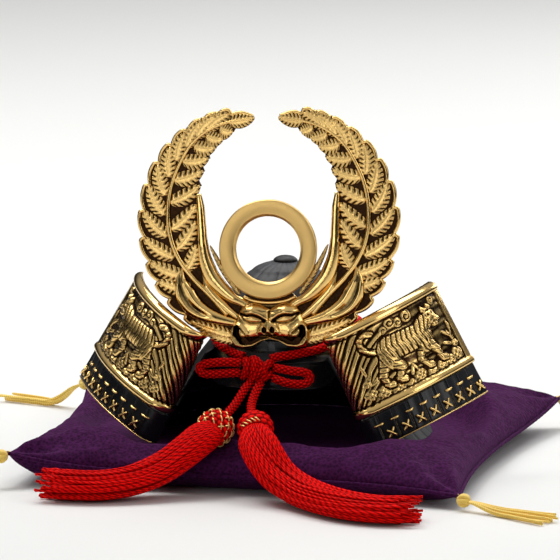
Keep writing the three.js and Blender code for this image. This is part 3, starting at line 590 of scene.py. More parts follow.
def tube(
    mesh, route, radius, around=8, step=1.0, swell=None, relief=1.0, polish=0.0, smooth_line=True
):
    """A tube along a route in mm; swell(u, far) gives its radius share and relief"""
    line = catmull(route) if smooth_line else np.array(route, float)
    count = max(3, int(round(even(line, 4)[1] / step)))
    points, length = even(line, count)
    sides, ups = carried_frames(points)

    def lay(u, v):
        i = int(round(v * count))
        turn = 2 * math.pi * u
        share, shade = swell(u, v * length) if swell else (1.0, relief)
        reach = radius(v) if callable(radius) else radius
        ray = math.cos(turn) * sides[i] + math.sin(turn) * ups[i]
        return points[i] + ray * reach * share, shade, polish

    laid_grid(mesh, around, count, lay)
    return points


def lump(mesh, centre, half, relief):
    """A rounded lump, given by its half sizes in mm"""

    def lay(u, v):
        angle = 2 * math.pi * u
        rise = math.pi * (v - 0.5)
        x = centre[0] + half[0] * math.cos(rise) * math.cos(angle)
        y = centre[1] + half[1] * math.cos(rise) * math.sin(angle)
        return np.array((x, y, centre[2] + half[2] * math.sin(rise))), relief, 0.0

    laid_grid(mesh, 12, 8, lay, ends=False)


# Red cord

CHIN_ROUTE = [
    (-8.7, -35.4, 45), (-12.4, -32.6, 45.4), (-17, -28.6, 46.4), (-21, -24.2, 47.6),
    (-23.8, -19.6, 49.6), (-26.4, -12.4, 51.8), (-28.4, 0, 52.4), (-25.4, 12.4, 52.4),
    (-17, 22.8, 52.4), (0, 28.4, 52.4), (17, 22.8, 52.4), (25.4, 12.4, 53), (28.4, 0, 53.6),
    (27, -11.6, 52.6), (23.4, -19.8, 49.6), (19.2, -25, 47.4), (14.2, -28.8, 46.4),
    (8.6, -32.2, 45.6), (4.4, -34.4, 45.2), (1.8, -35.7, 44.5),
]
BOW_LEFT_ROUTE = [
    (-9.3, -38.8, 43.1), (-12, -39.8, 43.4), (-15.7, -40.4, 43.4), (-19.7, -40.4, 43),
    (-23.4, -40.2, 42.2), (-25.1, -40.2, 40.6), (-23.4, -40.6, 38.9), (-19.8, -41, 38.8),
    (-16, -41, 39.1), (-12.4, -40.6, 39.4), (-9.4, -39.8, 39.5),
]
BOW_RIGHT_ROUTE = [
    (4, -37.6, 41.4), (7, -38.6, 41.2), (10.8, -39.4, 40.8), (14.5, -39.6, 40.6),
    (17.4, -39.6, 39.8), (18.2, -40, 38.1), (16.4, -40.8, 36.4), (13, -41.2, 36.1),
    (9.6, -41.2, 36.4), (6.4, -40.6, 37.1), (3.8, -39.8, 37.8),
]
KNOT_CENTRE = (-2.7, -38.0, 40.8)
KNOT_CORD = 0.46
HEAD_RADIUS = 7.1
HEAD_HALF = 6.5
TAIL_GAP = 0.35
TASSELS = {
    "left": {
        "head": (-11.6, -72.4, 23.8),
        "lean": (-0.3, -0.85, -0.45),
        "tail": [
            (-4.2, -37.6, 39.4), (-5, -39.9, 36.2), (-6.3, -43.6, 34.1), (-7.1, -49, 31.9),
            (-8, -55, 29.6), (-8.9, -61, 28),
        ],
        "route": [
            (-11.6, -73, 23.4), (-15.4, -80.6, 20.8), (-20.6, -85.8, 16.4), (-27.6, -90.6, 11.4),
            (-37.6, -98, 7.4), (-48.6, -103, 5.9), (-58.6, -104.6, 5.9), (-69.4, -103.6, 5.9),
        ],
        "wide": [5.4, 7.4, 7.8, 8.4, 8.6, 8.6, 8.6, 8.8],
        "high": [5.4, 5.6, 5.6, 5.4, 5.2, 5.2, 5.2, 5.4],
    },
    "right": {
        "head": (4, -72.4, 24),
        "lean": (0.35, -0.78, -0.52),
        "tail": [
            (-1.6, -37.8, 39.4), (-1.2, -40.1, 36.2), (-1.7, -44, 34), (-1.9, -49, 31.9),
            (-1.4, -55, 30.2), (-0.2, -61, 28.8),
        ],
        "route": [
            (4, -73, 23.6), (7.2, -82.4, 20.4), (12, -89, 15.4), (18.4, -94, 10), (27.4, -99.6, 6.4),
            (39.6, -110, 5), (52, -118.6, 4.8), (63, -121.4, 4.8), (74, -119.6, 4.8),
        ],
        "wide": [5.4, 7.6, 8.4, 9, 9.6, 10, 10.4, 10.6, 11],
        "high": [5.4, 5.8, 5.6, 5.2, 4.6, 4.4, 4.4, 4.4, 4.2],
    },
}
BRAID_COLUMNS = 3
BRAID_PITCH = 2.5


def braid(u, far):
    """Radius share and relief of the diamond lumps of a round braid; the relief paints highlight on the
    lumps and shade in the crossings
    """
    around = BRAID_COLUMNS * 2 * math.pi * u
    ahead = math.pi * far / BRAID_PITCH
    crossing = abs(math.cos(around + ahead) * math.cos(around - ahead)) ** 0.6
    return 0.72 + 0.31 * crossing, crossing


def braided_cord(name, route, node):
    """A braided cord along a route in mm; the length of its path is measured and not used"""
    mesh = new_mesh()
    diameter = sizes().cord_diameter
    path = tube(mesh, route, 0.5 * diameter / MM, around=32, step=0.28, swell=braid)
    piece = add_piece(name, mesh, braid_silk, "red_silk", node)
    line = [tuple(point * MM) for point in path[:-1:4]] + [tuple(path[-1] * MM)]
    measured = sum(math.dist(a, b) for a, b in zip(line, line[1:]))


def tail_route(one):
    """The route of a tail, down to the top of its tassel's head"""
    lean = np.array(one["lean"], float)
    lean /= np.linalg.norm(lean)
    end = np.array(one["head"], float) - lean * (HEAD_HALF + TAIL_GAP)
    return [*one["tail"], tuple(end)]


def knot(mesh):
    """The bow's knot: turns of the same braid wrapped over a small core"""
    x, y, z = KNOT_CENTRE
    radius = KNOT_CORD * sizes().cord_diameter / MM
    wraps = [
        [(-6.6, 1.4, -2.2), (-5.2, -1.8, -2.6), (-3.6, -2.9, 0.2), (-4.0, -1.8, 2.8), (-5.2, 1.4, 2.9)],
        [(-3.0, 2.2, 3.0), (-1.0, -0.6, 3.8), (1.6, -2.6, 2.2), (3.0, -2.4, -0.6), (2.4, 0.8, -3.2)],
        [
            (4.8, 2.0, 1.8), (4.6, -1.0, 2.6), (3.2, -2.6, 1.2),
            (0.8, -3.2, -1.2), (-1.4, -2.4, -3.2), (-2.6, 1.0, -3.6),
        ],
        [(-2.4, 1.6, -2.8), (-1.8, -1.8, -2.8), (-0.6, -3.3, 0.0), (-0.8, -2.0, 3.0), (-1.6, 1.2, 3.6)],
        [(4.9, 1.6, -1.6), (4.6, -1.4, -1.9), (3.4, -2.6, -2.6), (1.0, -1.2, -3.8), (0.0, 1.4, -3.7)],
    ]
    # The core's low relief paints it dark red: painted shade between the turns
    lump(mesh, (x, y + 0.6, z), (4.8, 2.2, 3.3), relief=0.3)
    for wrap in wraps:
        route = [(x + a, y + b, z + c) for a, b, c in wrap]
        tube(mesh, route, radius, around=24, step=0.3, swell=braid)


class KABUTO_OT_cord(bpy.types.Operator):
    """Make the chin cord, the bow and its knot, and the two tails"""

    bl_idname = "kabuto.cord"
    bl_label = "Red cord"

    def execute(self, context):
        mesh = new_mesh()
        knot(mesh)
        add_piece("bow_knot_braid", mesh, braid_silk, "red_silk", "bow_knot")
        braided_cord("chin_cord_braid", CHIN_ROUTE, "chin_cord")
        braided_cord("bow_left_braid", BOW_LEFT_ROUTE, "bow_loop_left")
        braided_cord("bow_right_braid", BOW_RIGHT_ROUTE, "bow_loop_right")
        for side, one in TASSELS.items():
            pieces = make_tassel(side, one)
            braided_cord(f"tail_{side}_braid", tail_route(one), f"cord_tail_{side}")
        return {"FINISHED"}


# Red tassels


SKIRT_OVERRUN = 90.0
HEAD_ROUNDNESS = 0.72
STRAND_FLOOR = 0.72
# Number of strands, share of the skirt's size, first turn and relief; the inner ring's lower relief is
# painted shade
STRAND_RINGS = [(46, 0.95, 0.0, 0.80), (40, 0.82, 0.4, 0.55)]
TASSEL_SEEDS = {"left": 11, "right": 23}


def skirt_point(one, spine, s, turn, share):
    """A point of a tassel's skirt: s runs down it, turn goes round it, share out from its middle"""
    last = len(one["route"]) - 1
    spot = min(max(s, 0.0) * last, last - 1e-6)
    i = int(spot)
    n = len(spine) - 1
    k = min(max(s, 0.0), 1.0) * n
    a = min(int(k), n - 1)
    at = spine[a] + (spine[a + 1] - spine[a]) * (k - a)
    along = spine[min(a + 2, n)] - spine[max(a - 2, 0)]
    along = along / np.linalg.norm(along)
    aside = np.array((-along[1], along[0], 0.0))
    aside /= np.linalg.norm(aside)
    above = np.cross(along, aside)
    if above[2] < 0:
        above = -above
    wide = lerp(one["wide"][i], one["wide"][i + 1], spot - i)
    high = lerp(one["high"][i], one["high"][i + 1], spot - i)
    point = at + aside * (share * wide * math.cos(turn)) + above * (share * high * math.sin(turn))
    if s > 1.0:
        point = point + along * (s - 1.0) * SKIRT_OVERRUN
    return point


def tassel_head(mesh, one):
    """The knitted head of a tassel, and its centre and directions"""
    lean = np.array(one["lean"], float)
    lean /= np.linalg.norm(lean)
    side = np.cross(lean, (0.0, 0.0, 1.0))
    side /= np.linalg.norm(side)
    front = np.cross(side, lean)
    centre = np.array(one["head"], float)

    def lay(u, v):
        rise = math.pi * (v - 0.5)
        turn = 2 * math.pi * u
        rows = 9 * v
        stagger = 0.5 * (int(rows) % 2)
        knit = abs(math.sin(math.pi * (13 * u + stagger))) * abs(math.sin(math.pi * rows))
        knit = knit ** 0.5 if 0.06 < v < 0.94 else 0.6
        round_out = math.cos(rise) ** HEAD_ROUNDNESS if abs(rise) < 1.5707 else 0.0
        radius = HEAD_RADIUS * round_out * (0.90 + 0.09 * knit)
        ray = side * math.cos(turn) + front * math.sin(turn)
        point = centre + ray * radius + lean * (HEAD_HALF * math.sin(rise) * (0.94 + 0.06 * knit))
        # Low relief in the knit's gaps paints them as shade in the braid's red
        return point, 0.2 + 0.8 * knit, 0.0

    laid_grid(mesh, 104, 54, lay, ends=False)
    return centre, lean, side, front


def head_point(head, turn, rise, out):
    """A point over the head; out is a share of its size"""
    centre, lean, side, front = head
    radius = HEAD_RADIUS * max(math.cos(rise), 0.0) ** HEAD_ROUNDNESS * out
    ray = side * math.cos(turn) + front * math.sin(turn)
    return centre + ray * radius + lean * (HEAD_HALF * math.sin(rise) * out)


def gold_stitches(mesh, head, side):
    """Gold thread laid over the head: a net on the left one, a short row on the right one"""
    rows = 4 if side == "left" else 1
    count = 11 if side == "left" else 5
    for row in range(rows):
        for k in range(count):
            if side == "left":
                turn = 2 * math.pi * (k + 0.5 * (row % 2)) / count
                rise = -0.75 + 0.42 * row
                legs = (0.15, -0.15) if (row + k) % 2 else (0.15,)
            else:
                turn = 0.55 + 0.24 * k
                rise = 0.30
                legs = (0.16,)
            for leg in legs:
                route = [
                    head_point(head, turn - 0.13 * f, rise - leg * f, 1.02 - 0.05 * abs(f) ** 3)
                    for f in (-1.0, -0.5, 0.0, 0.5, 1.0)
                ]
                tube(mesh, route, 0.27, around=6, step=0.4)


def strand_routes(one, spine, rng):
    """Strands over the whole outside of the skirt, and a looser inner ring"""
    count = len(one["route"]) * 3
    for number, share, turn0, light in STRAND_RINGS:
        for k in range(number):
            turn = 2 * math.pi * (k + turn0 + rng.uniform(-0.12, 0.12)) / number
            end = rng.uniform(0.93, 1.035)
            loose = rng.uniform(-0.12, 0.12)
            sway = rng.uniform(-0.22, 0.22)
            bow = rng.uniform(-0.25, 0.25)
            route = []
            for i in range(count + 1):
                s = lerp(0.02, end, i / count)
                gather = lerp(0.80, 1.0, smooth(s, 0.0, 0.12))
                wander = (sway * math.sin(5.5 * s + 3 * turn) + bow * s) * smooth(s, 0.08, 0.7)
                point = skirt_point(one, spine, s, turn + wander, (share + loose * s) * gather)
                fray = smooth(s, 0.80, 1.0) * rng.uniform(-0.9, 0.9)
                point = point + np.array((fray, -fray, 0.5 * fray))
                point[2] = max(point[2], STRAND_FLOOR)
                route.append(tuple(point))
            yield route, light + rng.uniform(0.0, 0.25)


def make_tassel(side, one):
    """Make a tassel: its head, its stitches and its strands; returns the head and the stitches"""
    rng = np.random.default_rng(TASSEL_SEEDS[side])
    spine = catmull(one["route"])
    mesh = new_mesh()
    head = tassel_head(mesh, one)
    head_piece = add_piece(f"tassel_{side}_head", mesh, braid_silk, "red_silk", f"tassel_{side}")
    threads = new_mesh()
    gold_stitches(threads, head, side)
    stitches = add_piece(f"tassel_{side}_stitches", threads, metal_thread, "gold")
    mesh = new_mesh()
    radius = 0.5 * sizes().strand_diameter / MM

    # The core under the strands has no relief, so it is painted dark red: painted shade inside the
    # skirt
    def core(u, v):
        s = lerp(0.03, 0.95, v)
        closing = min(1.0, 6 * (1 - v) + 0.05, 12 * v + 0.05)
        return skirt_point(one, spine, s, 2 * math.pi * u, 0.62 * closing), 0.0, 0.0

    laid_grid(mesh, 20, 36, core)
    for route, light in strand_routes(one, spine, rng):
        tube(mesh, route, radius, around=6, step=2.6, relief=light)
    add_piece(f"tassel_{side}_strands", mesh, strand_silk, "red_silk", f"tassel_{side}")
    return [head_piece, stitches]


# Camera and stage

CAMERA_AT = (0.5432, -2.5301, 0.4849)
LOOK_AT = (0.00105, -0.015, 0.0718)
CAMERA_LENS = 435.5
CAMERA_SENSOR = 36.0
FLOOR_SIZE = 6.0
# Place, target, size and power in watts
LIGHTS = {
    "key": ((-0.7, 0.25, 1.5), (0, 0, 0.03), (0.9, 0.9), 15.5),
    "fill": ((1.5, -0.3, 0.8), (0, 0, 0.05), (0.5, 1.2), 4.5),
    "top": ((0.1, 0.8, 1.4), (0, 0, 0.03), (1.4, 0.8), 14.5),
    "edge": ((0.5, 1.4, 0.6), (0, 0, 0.08), (0.9, 0.4), 4.0),
    "card": ((-0.60, -2.0, 0.50), (0, 0, 0.1), (0.9, 0.6), 3.2),
}
# Share of the way from straight down to straight up, and grey
TENT_STOPS = [(0.0, 0.5), (0.47, 0.35), (0.51, 0.04), (0.62, 0.06), (0.74, 0.60), (1.0, 0.95)]
TENT_STRENGTH = 0.60
BACKDROP = (0.925, 0.925, 0.905, 1.0)


def area_light(name, at, to, size, energy):
    data = bpy.data.lights.new(name, "AREA")
    data.shape = "RECTANGLE"
    data.size, data.size_y = size
    data.energy = energy
    lamp = bpy.data.objects.new(name, data)
    lamp.location = at
    lamp.rotation_euler = (Vector(to) - Vector(at)).to_track_quat("-Z", "Y").to_euler()
    bpy.context.scene.collection.objects.link(lamp)


def tent_light():
    """Pale tent light that darkens towards the floor line, for metal to reflect"""
    world = bpy.data.worlds.new("tent")
    bpy.context.scene.world = world
    world.use_nodes = True
    tree = world.node_tree
    tree.nodes.clear()
    output = tree.nodes.new("ShaderNodeOutputWorld")
    place = tree.nodes.new("ShaderNodeTexCoord")
    split = tree.nodes.new("ShaderNodeSeparateXYZ")
    ramp = tree.nodes.new("ShaderNodeValToRGB")
    tent = tree.nodes.new("ShaderNodeBackground")
    backdrop = tree.nodes.new("ShaderNodeBackground")
    rays = tree.nodes.new("ShaderNodeLightPath")
    choose = tree.nodes.new("ShaderNodeMixShader")
    fill_ramp(ramp, [(spot, (grey, grey, grey)) for spot, grey in TENT_STOPS])
    half = tree.nodes.new("ShaderNodeMath")
    half.operation = "MULTIPLY_ADD"
    half.inputs[1].default_value = 0.5
    half.inputs[2].default_value = 0.5
    tree.links.new(place.outputs["Generated"], split.inputs[0])
    tree.links.new(split.outputs["Z"], half.inputs[0])
    tree.links.new(half.outputs[0], ramp.inputs["Fac"])
    tree.links.new(ramp.outputs["Color"], tent.inputs["Color"])
    tent.inputs["Strength"].default_value = TENT_STRENGTH
    backdrop.inputs["Color"].default_value = BACKDROP
    backdrop.inputs["Strength"].default_value = 1.0
    tree.links.new(rays.outputs["Is Camera Ray"], choose.inputs[0])
    tree.links.new(tent.outputs[0], choose.inputs[1])
    tree.links.new(backdrop.outputs[0], choose.inputs[2])
    tree.links.new(choose.outputs[0], output.inputs[0])


class KABUTO_OT_stage(bpy.types.Operator):
    """Set the camera, the pale floor and the soft lights"""

    bl_idname = "kabuto.stage"
    bl_label = "Stage"

    def execute(self, context):
        scene = context.scene
        data = bpy.data.cameras.new("camera")
        data.lens = CAMERA_LENS
        data.sensor_width = CAMERA_SENSOR
        data.clip_end = 100.0
        camera = bpy.data.objects.new("camera", data)
        camera.location = CAMERA_AT
        aim = Vector(LOOK_AT) - Vector(CAMERA_AT)
        camera.rotation_euler = aim.to_track_quat("-Z", "Y").to_euler()
        scene.collection.objects.link(camera)
        scene.camera = camera
        mesh = new_mesh()
        bmesh.ops.create_grid(mesh, x_segments=2, y_segments=2, size=FLOOR_SIZE)
        floor = piece_of("floor", mesh, pale_floor, smooth=False, outward=False)
        tent_light()
        for name, light in LIGHTS.items():
            area_light(name, *light)
        scene.view_settings.view_transform = "Standard"
        return {"FINISHED"}


# Cushion

CORNERS = {
    "front_left": (-90.0, -83.0, 13.0),
    "front_right": (86.0, -92.0, 5.0),
    "back_left": (-98.0, 80.0, 12.0),
    "back_right": (93.0, 84.0, 12.0),
}
SEAM_HEIGHT = 7.0
CROWN = 17.0
PULL_IN = 6.0
SEAT_HEIGHT = 9.9
SEAT_RADIUS = 71.0
SEAT_FRONT_RELIEF = 13.0
SEAT_FADE = 12.0
RIM_RADIUS = 57.0
BASE_SHARE = 0.8
CUSHION_CELLS = 130
CUSHION_EASE = 0.94
SEAM_RADIUS = 0.75
SEAM_STEPS = 60


def over_corners(u, v, axis):
    """A coordinate of the corners, spread evenly between them; u and v run from -1 to 1"""
    front = lerp(CORNERS["front_left"][axis], CORNERS["front_right"][axis], (u + 1) / 2)
    back = lerp(CORNERS["back_left"][axis], CORNERS["back_right"][axis], (u + 1) / 2)
    return lerp(front, back, (v + 1) / 2)


def cushion_point(u, v):
    """Plan point of the cushion, whose sides are pulled in between its corners"""
    x = over_corners(u, v, 0) - u * abs(u) * PULL_IN * (1 - v * v)
    y = over_corners(u, v, 1) - v * abs(v) * PULL_IN * (1 - u * u)
    return x, y


def seam_height(u, v):
    return lerp(SEAM_HEIGHT, over_corners(u, v, 2), abs(u * v) ** 3)


def corner_folds(x, y):
    """Small folds that run out from each corner, as shares of the wrinkle height"""
    folds = 0.0
    for index, (cx, cy, _) in enumerate(CORNERS.values()):
        dx, dy = x - cx * 1.03, y - cy * 1.03
        far = math.hypot(dx, dy)
        bearing = math.atan2(dy, dx)
        wave = math.sin(9.0 * bearing + 1.7 * index + 0.05 * far)
        folds += wave * bell(far, 34.0) * min(far / 12.0, 1.0)
    return folds


def seat_press(x, y):
    """How far the guard presses the cloth down, from 0 to 1; less deep towards the front"""
    from_front = math.degrees(math.atan2(abs(x), -y))
    reach = SEAT_RADIUS - SEAT_FRONT_RELIEF * (1 - smooth(from_front, 8, 34))
    return 1 - smooth(math.hypot(x, y), reach, reach + SEAT_FADE)


def cushion_top(u, v):
    x, y = cushion_point(u, v)
    swell = math.sqrt(max((1 - u**4) * (1 - v**4), 0.0))
    full = seam_height(u, v) + CROWN * swell * lerp(0.9, 1.1, smooth(v, -1, 0.6))
    press = seat_press(x, y)
    edge = 1 - max(abs(u), abs(v))
    free = smooth(edge, 0.0, 0.06) * (1 - press)
    wrinkle = sizes().cloth_wrinkle / MM
    soft = noise.fractal(Vector((x, y, 3.0)) * 0.035, 1.0, 2.0, 4)
    pull = noise.noise(Vector((x * 0.10, y * 0.025, 7.0)))
    rim = 0.5 * bell(math.hypot(x, y) - RIM_RADIUS, 3.0)
    height = lerp(full, min(full, SEAT_HEIGHT + rim), press)
    height += free * wrinkle * (1.6 * soft + 0.8 * pull + 1.5 * corner_folds(x, y))
    return np.array((x, y, height))


def cushion_under(u, v):
    x, y = cushion_point(u, v)
    edge = max(abs(u), abs(v))
    lift = min(max((edge - BASE_SHARE) / (1 - BASE_SHARE), 0.0), 1.0) ** 2
    wrinkle = sizes().cloth_wrinkle / MM
    free = smooth(1 - edge, 0.0, 0.06) * smooth(edge, 0.8, 0.9)
    folds = max(free * wrinkle * 0.8 * corner_folds(x, y), -0.2 * lift)
    return np.array((x, y, lift * seam_height(u, v) + folds))


def eased(share):
    """A share as a place from -1 to 1, with closer rows near the edges"""
    bend = math.pi / 2 * CUSHION_EASE
    return math.sin((2 * share - 1) * bend) / math.sin(bend)


class KABUTO_OT_cushion(bpy.types.Operator):
    """Make the purple cushion: two crowned faces, sewn together along a raised seam"""

    bl_idname = "kabuto.cushion"
    bl_label = "Cushion"

    def execute(self, context):
        mesh = new_mesh()
        for surface in (cushion_top, cushion_under):

            def lay(u, v, surface=surface):
                return surface(eased(u), eased(v)), 0.5, 0.0

            laid_grid(mesh, CUSHION_CELLS, CUSHION_CELLS, lay, wrap=False)
        bmesh.ops.remove_doubles(mesh, verts=mesh.verts[:], dist=2e-5)
        pad = add_piece("cushion_pad", mesh, purple_crepe, "purple_cloth", "cushion")
        mesh = new_mesh()
        corners = [(-1, -1), (1, -1), (1, 1), (-1, 1)]
        ridge = []
        for (u0, v0), (u1, v1) in zip(corners, corners[1:] + corners[:1]):
            for k in range(SEAM_STEPS):
                u, v = lerp(u0, u1, k / SEAM_STEPS), lerp(v0, v1, k / SEAM_STEPS)
                x, y = cushion_point(u, v)
                ridge.append((x * 1.002, y * 1.002, seam_height(u, v)))
        ridge.append(ridge[0])

        def gathers(u, far):
            return 1.0 + 0.10 * math.sin(far * 2.4) * math.sin(far * 0.7), 0.5

        tube(mesh, ridge, SEAM_RADIUS, swell=gathers, smooth_line=False)
        add_piece("cushion_seam", mesh, purple_crepe, "purple_cloth")
        return {"FINISHED"}


# Yellow corner tassels

CORNER_KNOT = 2.6
CORNER_STRAND = 41.0
CORNER_STRANDS = 9
CORNER_THREAD = 0.45
# The corner's u and v, and the heading of the strands in degrees
CORNER_TASSELS = {
    "front_left": (-1, -1, -150.0),
    "front_right": (1, -1, -26.0),
    "back_right": (1, 1, 38.0),
    "back_left": (-1, 1, 158.0),
}


class KABUTO_OT_corner_tassels(bpy.types.Operator):
    """Make the four yellow corner tassels"""

    bl_idname = "kabuto.corner_tassels"
    bl_label = "Corner tassels"

    def execute(self, context):
        for index, (corner, (u, v, heading)) in enumerate(CORNER_TASSELS.items()):
            rng = np.random.default_rng(40 + index)
            tip = np.array((*cushion_point(u, v), seam_height(u, v)))
            out = np.array((math.cos(math.radians(heading)), math.sin(math.radians(heading)), 0.0))
            aside = np.array((-out[1], out[0], 0.0))
            away = np.array((u, v, 0.0)) / math.sqrt(2)
            centre = tip + away * (CORNER_KNOT + 0.3)
            centre[2] = max(tip[2] - 1, CORNER_KNOT + 0.5)
            mesh = new_mesh()
            for turn in (0.0, 2.1, 4.2):
                loop = []
                for k in range(9):
                    a = 2 * math.pi * k / 8
                    ray = (math.cos(a), math.sin(a) * math.cos(turn), math.sin(a) * math.sin(turn))
                    loop.append(centre + np.array(ray) * (CORNER_KNOT - 0.8))
                tube(mesh, loop, 1.0, step=0.6)
            tube(mesh, [tip - away, lerp(tip, centre, 0.6), centre], 0.9, step=0.5)
            for k in range(CORNER_STRANDS):
                fan = (k - 4) / 4 * 5.6 + rng.uniform(-0.8, 0.8)
                far = CORNER_STRAND * rng.uniform(0.93, 1.0)
                low = CORNER_THREAD + 0.3 + (k % 3) * 0.9
                route = []
                for share in np.linspace(0.0, 1.0, 8):
                    at = centre + out * share * far + aside * fan * share ** 0.8
                    at = at + aside * 1.2 * math.sin(4 * share + k) * share
                    at[2] = lerp(centre[2], low, smooth(share, 0.0, 0.45))
                    route.append(at)
                tube(mesh, route, CORNER_THREAD, around=6, step=1.2)
            node = f"cushion_tassel_{corner}"
            add_piece(f"corner_tassel_{corner}", mesh, yellow_silk, "yellow_silk", node)
        return {"FINISHED"}


# Bowl, knob, waist band and visor

CLEARANCE = 0.3
WALL = 1.2
BOWL_RADIUS = 26.0
BOWL_FOOT = 50.5
BOWL_HEIGHT = 26.4
BOWL_SKIRT = 5.0
BOWL_FOLDS = 20
WAIST_INNER = 26.5
WAIST_OUTER = 27.9
WAIST_TOP = BOWL_FOOT - CLEARANCE
WAIST_FOOT = WAIST_TOP - 8.0
WAIST_PLATES = 22
FLARE_HEIGHT = 3.5
FLARE_TOP = WAIST_FOOT + FLARE_HEIGHT
LAME_OVERLAP = 2.2
HANG_RADIUS = WAIST_OUTER + 0.5 + WALL
LAME_TOPS = [FLARE_TOP]
LAME_BOTTOMS = []
for lame_height in (17.5, 12.5, 9.5):
    LAME_BOTTOMS.append(LAME_TOPS[-1] - lame_height)
    LAME_TOPS.append(LAME_BOTTOMS[-1] + LAME_OVERLAP)
NECK_SLOPE = (57.0 - HANG_RADIUS) / (FLARE_TOP - LAME_BOTTOMS[-1])
FLARE_RADIUS = WAIST_OUTER + NECK_SLOPE * FLARE_HEIGHT
VISOR_HALF = 52.0
VISOR_DROP = 13.5
VISOR_LIP = 2.4
KNOB_PROFILE = [
    (0.0, 0.0), (4.7, 0.0), (4.7, 0.2), (4.45, 0.6), (3.95, 1.05),
    (3.2, 1.45), (2.3, 1.75), (1.2, 1.95), (0.0, 2.0),
]


def bowl_surface(angle, rise, inset):
    """A point of the gathered bowl; below zero the rise runs down its skirt"""
    up = max(rise, 0.0)
    crossing = abs(math.sin(0.5 * BOWL_FOLDS * angle))
    deep = smooth(rise, 0.02, 0.25) * (1 - smooth(rise, 0.97, 1.0))
    radius = (BOWL_RADIUS - inset) * math.sqrt(max(1 - up * up, 0.0))
    z = BOWL_FOOT + (rise * BOWL_SKIRT if rise < 0 else up * (BOWL_HEIGHT - inset))
    if inset == 0:
        radius += deep * 0.60 * (crossing**0.45 - 1.0)
        z += 0.45 * smooth(rise, 0.865, 0.885) * (1 - smooth(rise, 0.985, 1.0))
    shade = 0.2 + 0.8 * (crossing**0.45 if deep > 0.2 else 1.0)
    return about_axis(max(radius, 0.0), angle, z), shade


def turned(mesh, profile, steps):
    """Turn a closed profile of (radius, height) in mm about the upright axis"""
    corners = [mesh.verts.new((r * MM, 0.0, z * MM)) for r, z in profile]
    edges = [mesh.edges.new(pair) for pair in zip(corners, corners[1:] + corners[:1])]
    bmesh.ops.spin(
        mesh,
        geom=corners + edges,
        cent=(0, 0, 0),
        axis=(0, 0, 1),
        dvec=(0, 0, 0),
        angle=2 * math.pi,
        steps=steps,
        use_merge=True,
        use_duplicate=False,
    )
    bmesh.ops.remove_doubles(mesh, verts=mesh.verts[:], dist=1e-7)


class KABUTO_OT_bowl(bpy.types.Operator):
    """Make the bowl with its gathers, and the button on its crown"""

    bl_idname = "kabuto.bowl"
    bl_label = "Bowl and knob"

    def execute(self, context):
        mesh = new_mesh()
        dome = [math.sin(x) for x in np.linspace(0.03, math.pi / 2, 60)]
        outer = list(np.linspace(-1.0, 0.0, 6)) + dome
        rows = outer + [0.99, 0.9, 0.7, 0.45, 0.2, 0.0, -1.0]

        def lay(u, v):
            k = int(round(v * (len(rows) - 1)))
            inset = 0.0 if k < len(outer) else WALL
            point, shade = bowl_surface(2 * math.pi * u, rows[k], inset)
            return point, shade, 0.0

        laid_grid(mesh, 192, len(rows) - 1, lay, ends=False)
        loops = [edge for edge in mesh.edges if edge.is_boundary]
        bmesh.ops.bridge_loops(mesh, edges=loops)
        add_piece("bowl_gathered", mesh, bowl_satin, "black_lacquer", "bowl")
        mesh = new_mesh()
        crown = BOWL_FOOT + BOWL_HEIGHT + CLEARANCE
        turned(mesh, [(radius, crown + rise) for radius, rise in KNOB_PROFILE], 64)
        add_piece("crown_knob_turned", mesh, bowl_satin, "black_lacquer", "crown_knob")
        return {"FINISHED"}


def visor_surface(share, drop_share, inset):
    """A point of the visor; share runs from -1 to 1 across it"""
    angle = math.radians(share * VISOR_HALF)
    fall = VISOR_DROP * (1 - 0.75 * abs(share) ** 8)
    drop = drop_share * fall
    spread = NECK_SLOPE * min(drop, FLARE_HEIGHT)
    spread += VISOR_LIP * max(0.0, (drop - FLARE_HEIGHT) / (VISOR_DROP - FLARE_HEIGHT))
    bead = 0.0
    if inset == 0:
        bead = 0.55 * bell(drop, 0.9) + 0.40 * bell(drop - fall + 0.6, 0.6)
        bead -= 0.25 * bell(drop - 4.2, 0.35)
    return about_axis(HANG_RADIUS - inset + bead + spread, angle, FLARE_TOP - drop)


class KABUTO_OT_visor(bpy.types.Operator):
    """Make the plated waist band and the glossy visor"""

    bl_idname = "kabuto.visor"
    bl_label = "Waist band and visor"

    def execute(self, context):
        mesh = new_mesh()
        profile = [
            (WAIST_INNER, WAIST_TOP), (WAIST_OUTER - 0.3, WAIST_TOP), (WAIST_OUTER, WAIST_TOP - 0.3),
            (WAIST_OUTER, FLARE_TOP + 0.9), (WAIST_OUTER + 0.15, FLARE_TOP + 0.3),
            (FLARE_RADIUS, WAIST_FOOT + 0.2), (FLARE_RADIUS - 0.2, WAIST_FOOT),
            (FLARE_RADIUS - WALL, WAIST_FOOT), (WAIST_INNER, FLARE_TOP),
        ]
        turned(mesh, profile, 176)
        outer = (WAIST_OUTER - 0.05) * MM
        for vert in mesh.verts:
            reach = math.hypot(vert.co.x, vert.co.y)
            if reach > outer:
                bearing = math.atan2(vert.co.x, -vert.co.y)
                gap = abs(math.sin(0.5 * WAIST_PLATES * bearing))
                cut = 0.28 * bell(gap, 0.16) * MM
                vert.co.x -= cut * vert.co.x / reach
                vert.co.y -= cut * vert.co.y / reach
        add_piece("waist_band_plated", mesh, black_lacquer, "black_lacquer", "waist_band", sharp=35)
        mesh = new_mesh()
        front = list(np.linspace(0.0, 1.0, 34))
        section = [(d, 0.0) for d in front] + [(d, WALL) for d in (1.0, 0.66, 0.33, 0.0)]

        def lay(u, v):
            drop, inset = at_share(section, u)
            return visor_surface(2 * v - 1, drop, inset), 1.0, 1.0

        laid_grid(mesh, len(section), 90, lay)
        add_piece("visor_lip", mesh, black_lacquer, "black_lacquer", "visor", sharp=50)
        return {"FINISHED"}


# Turned-back ends: gold panels and laced bands

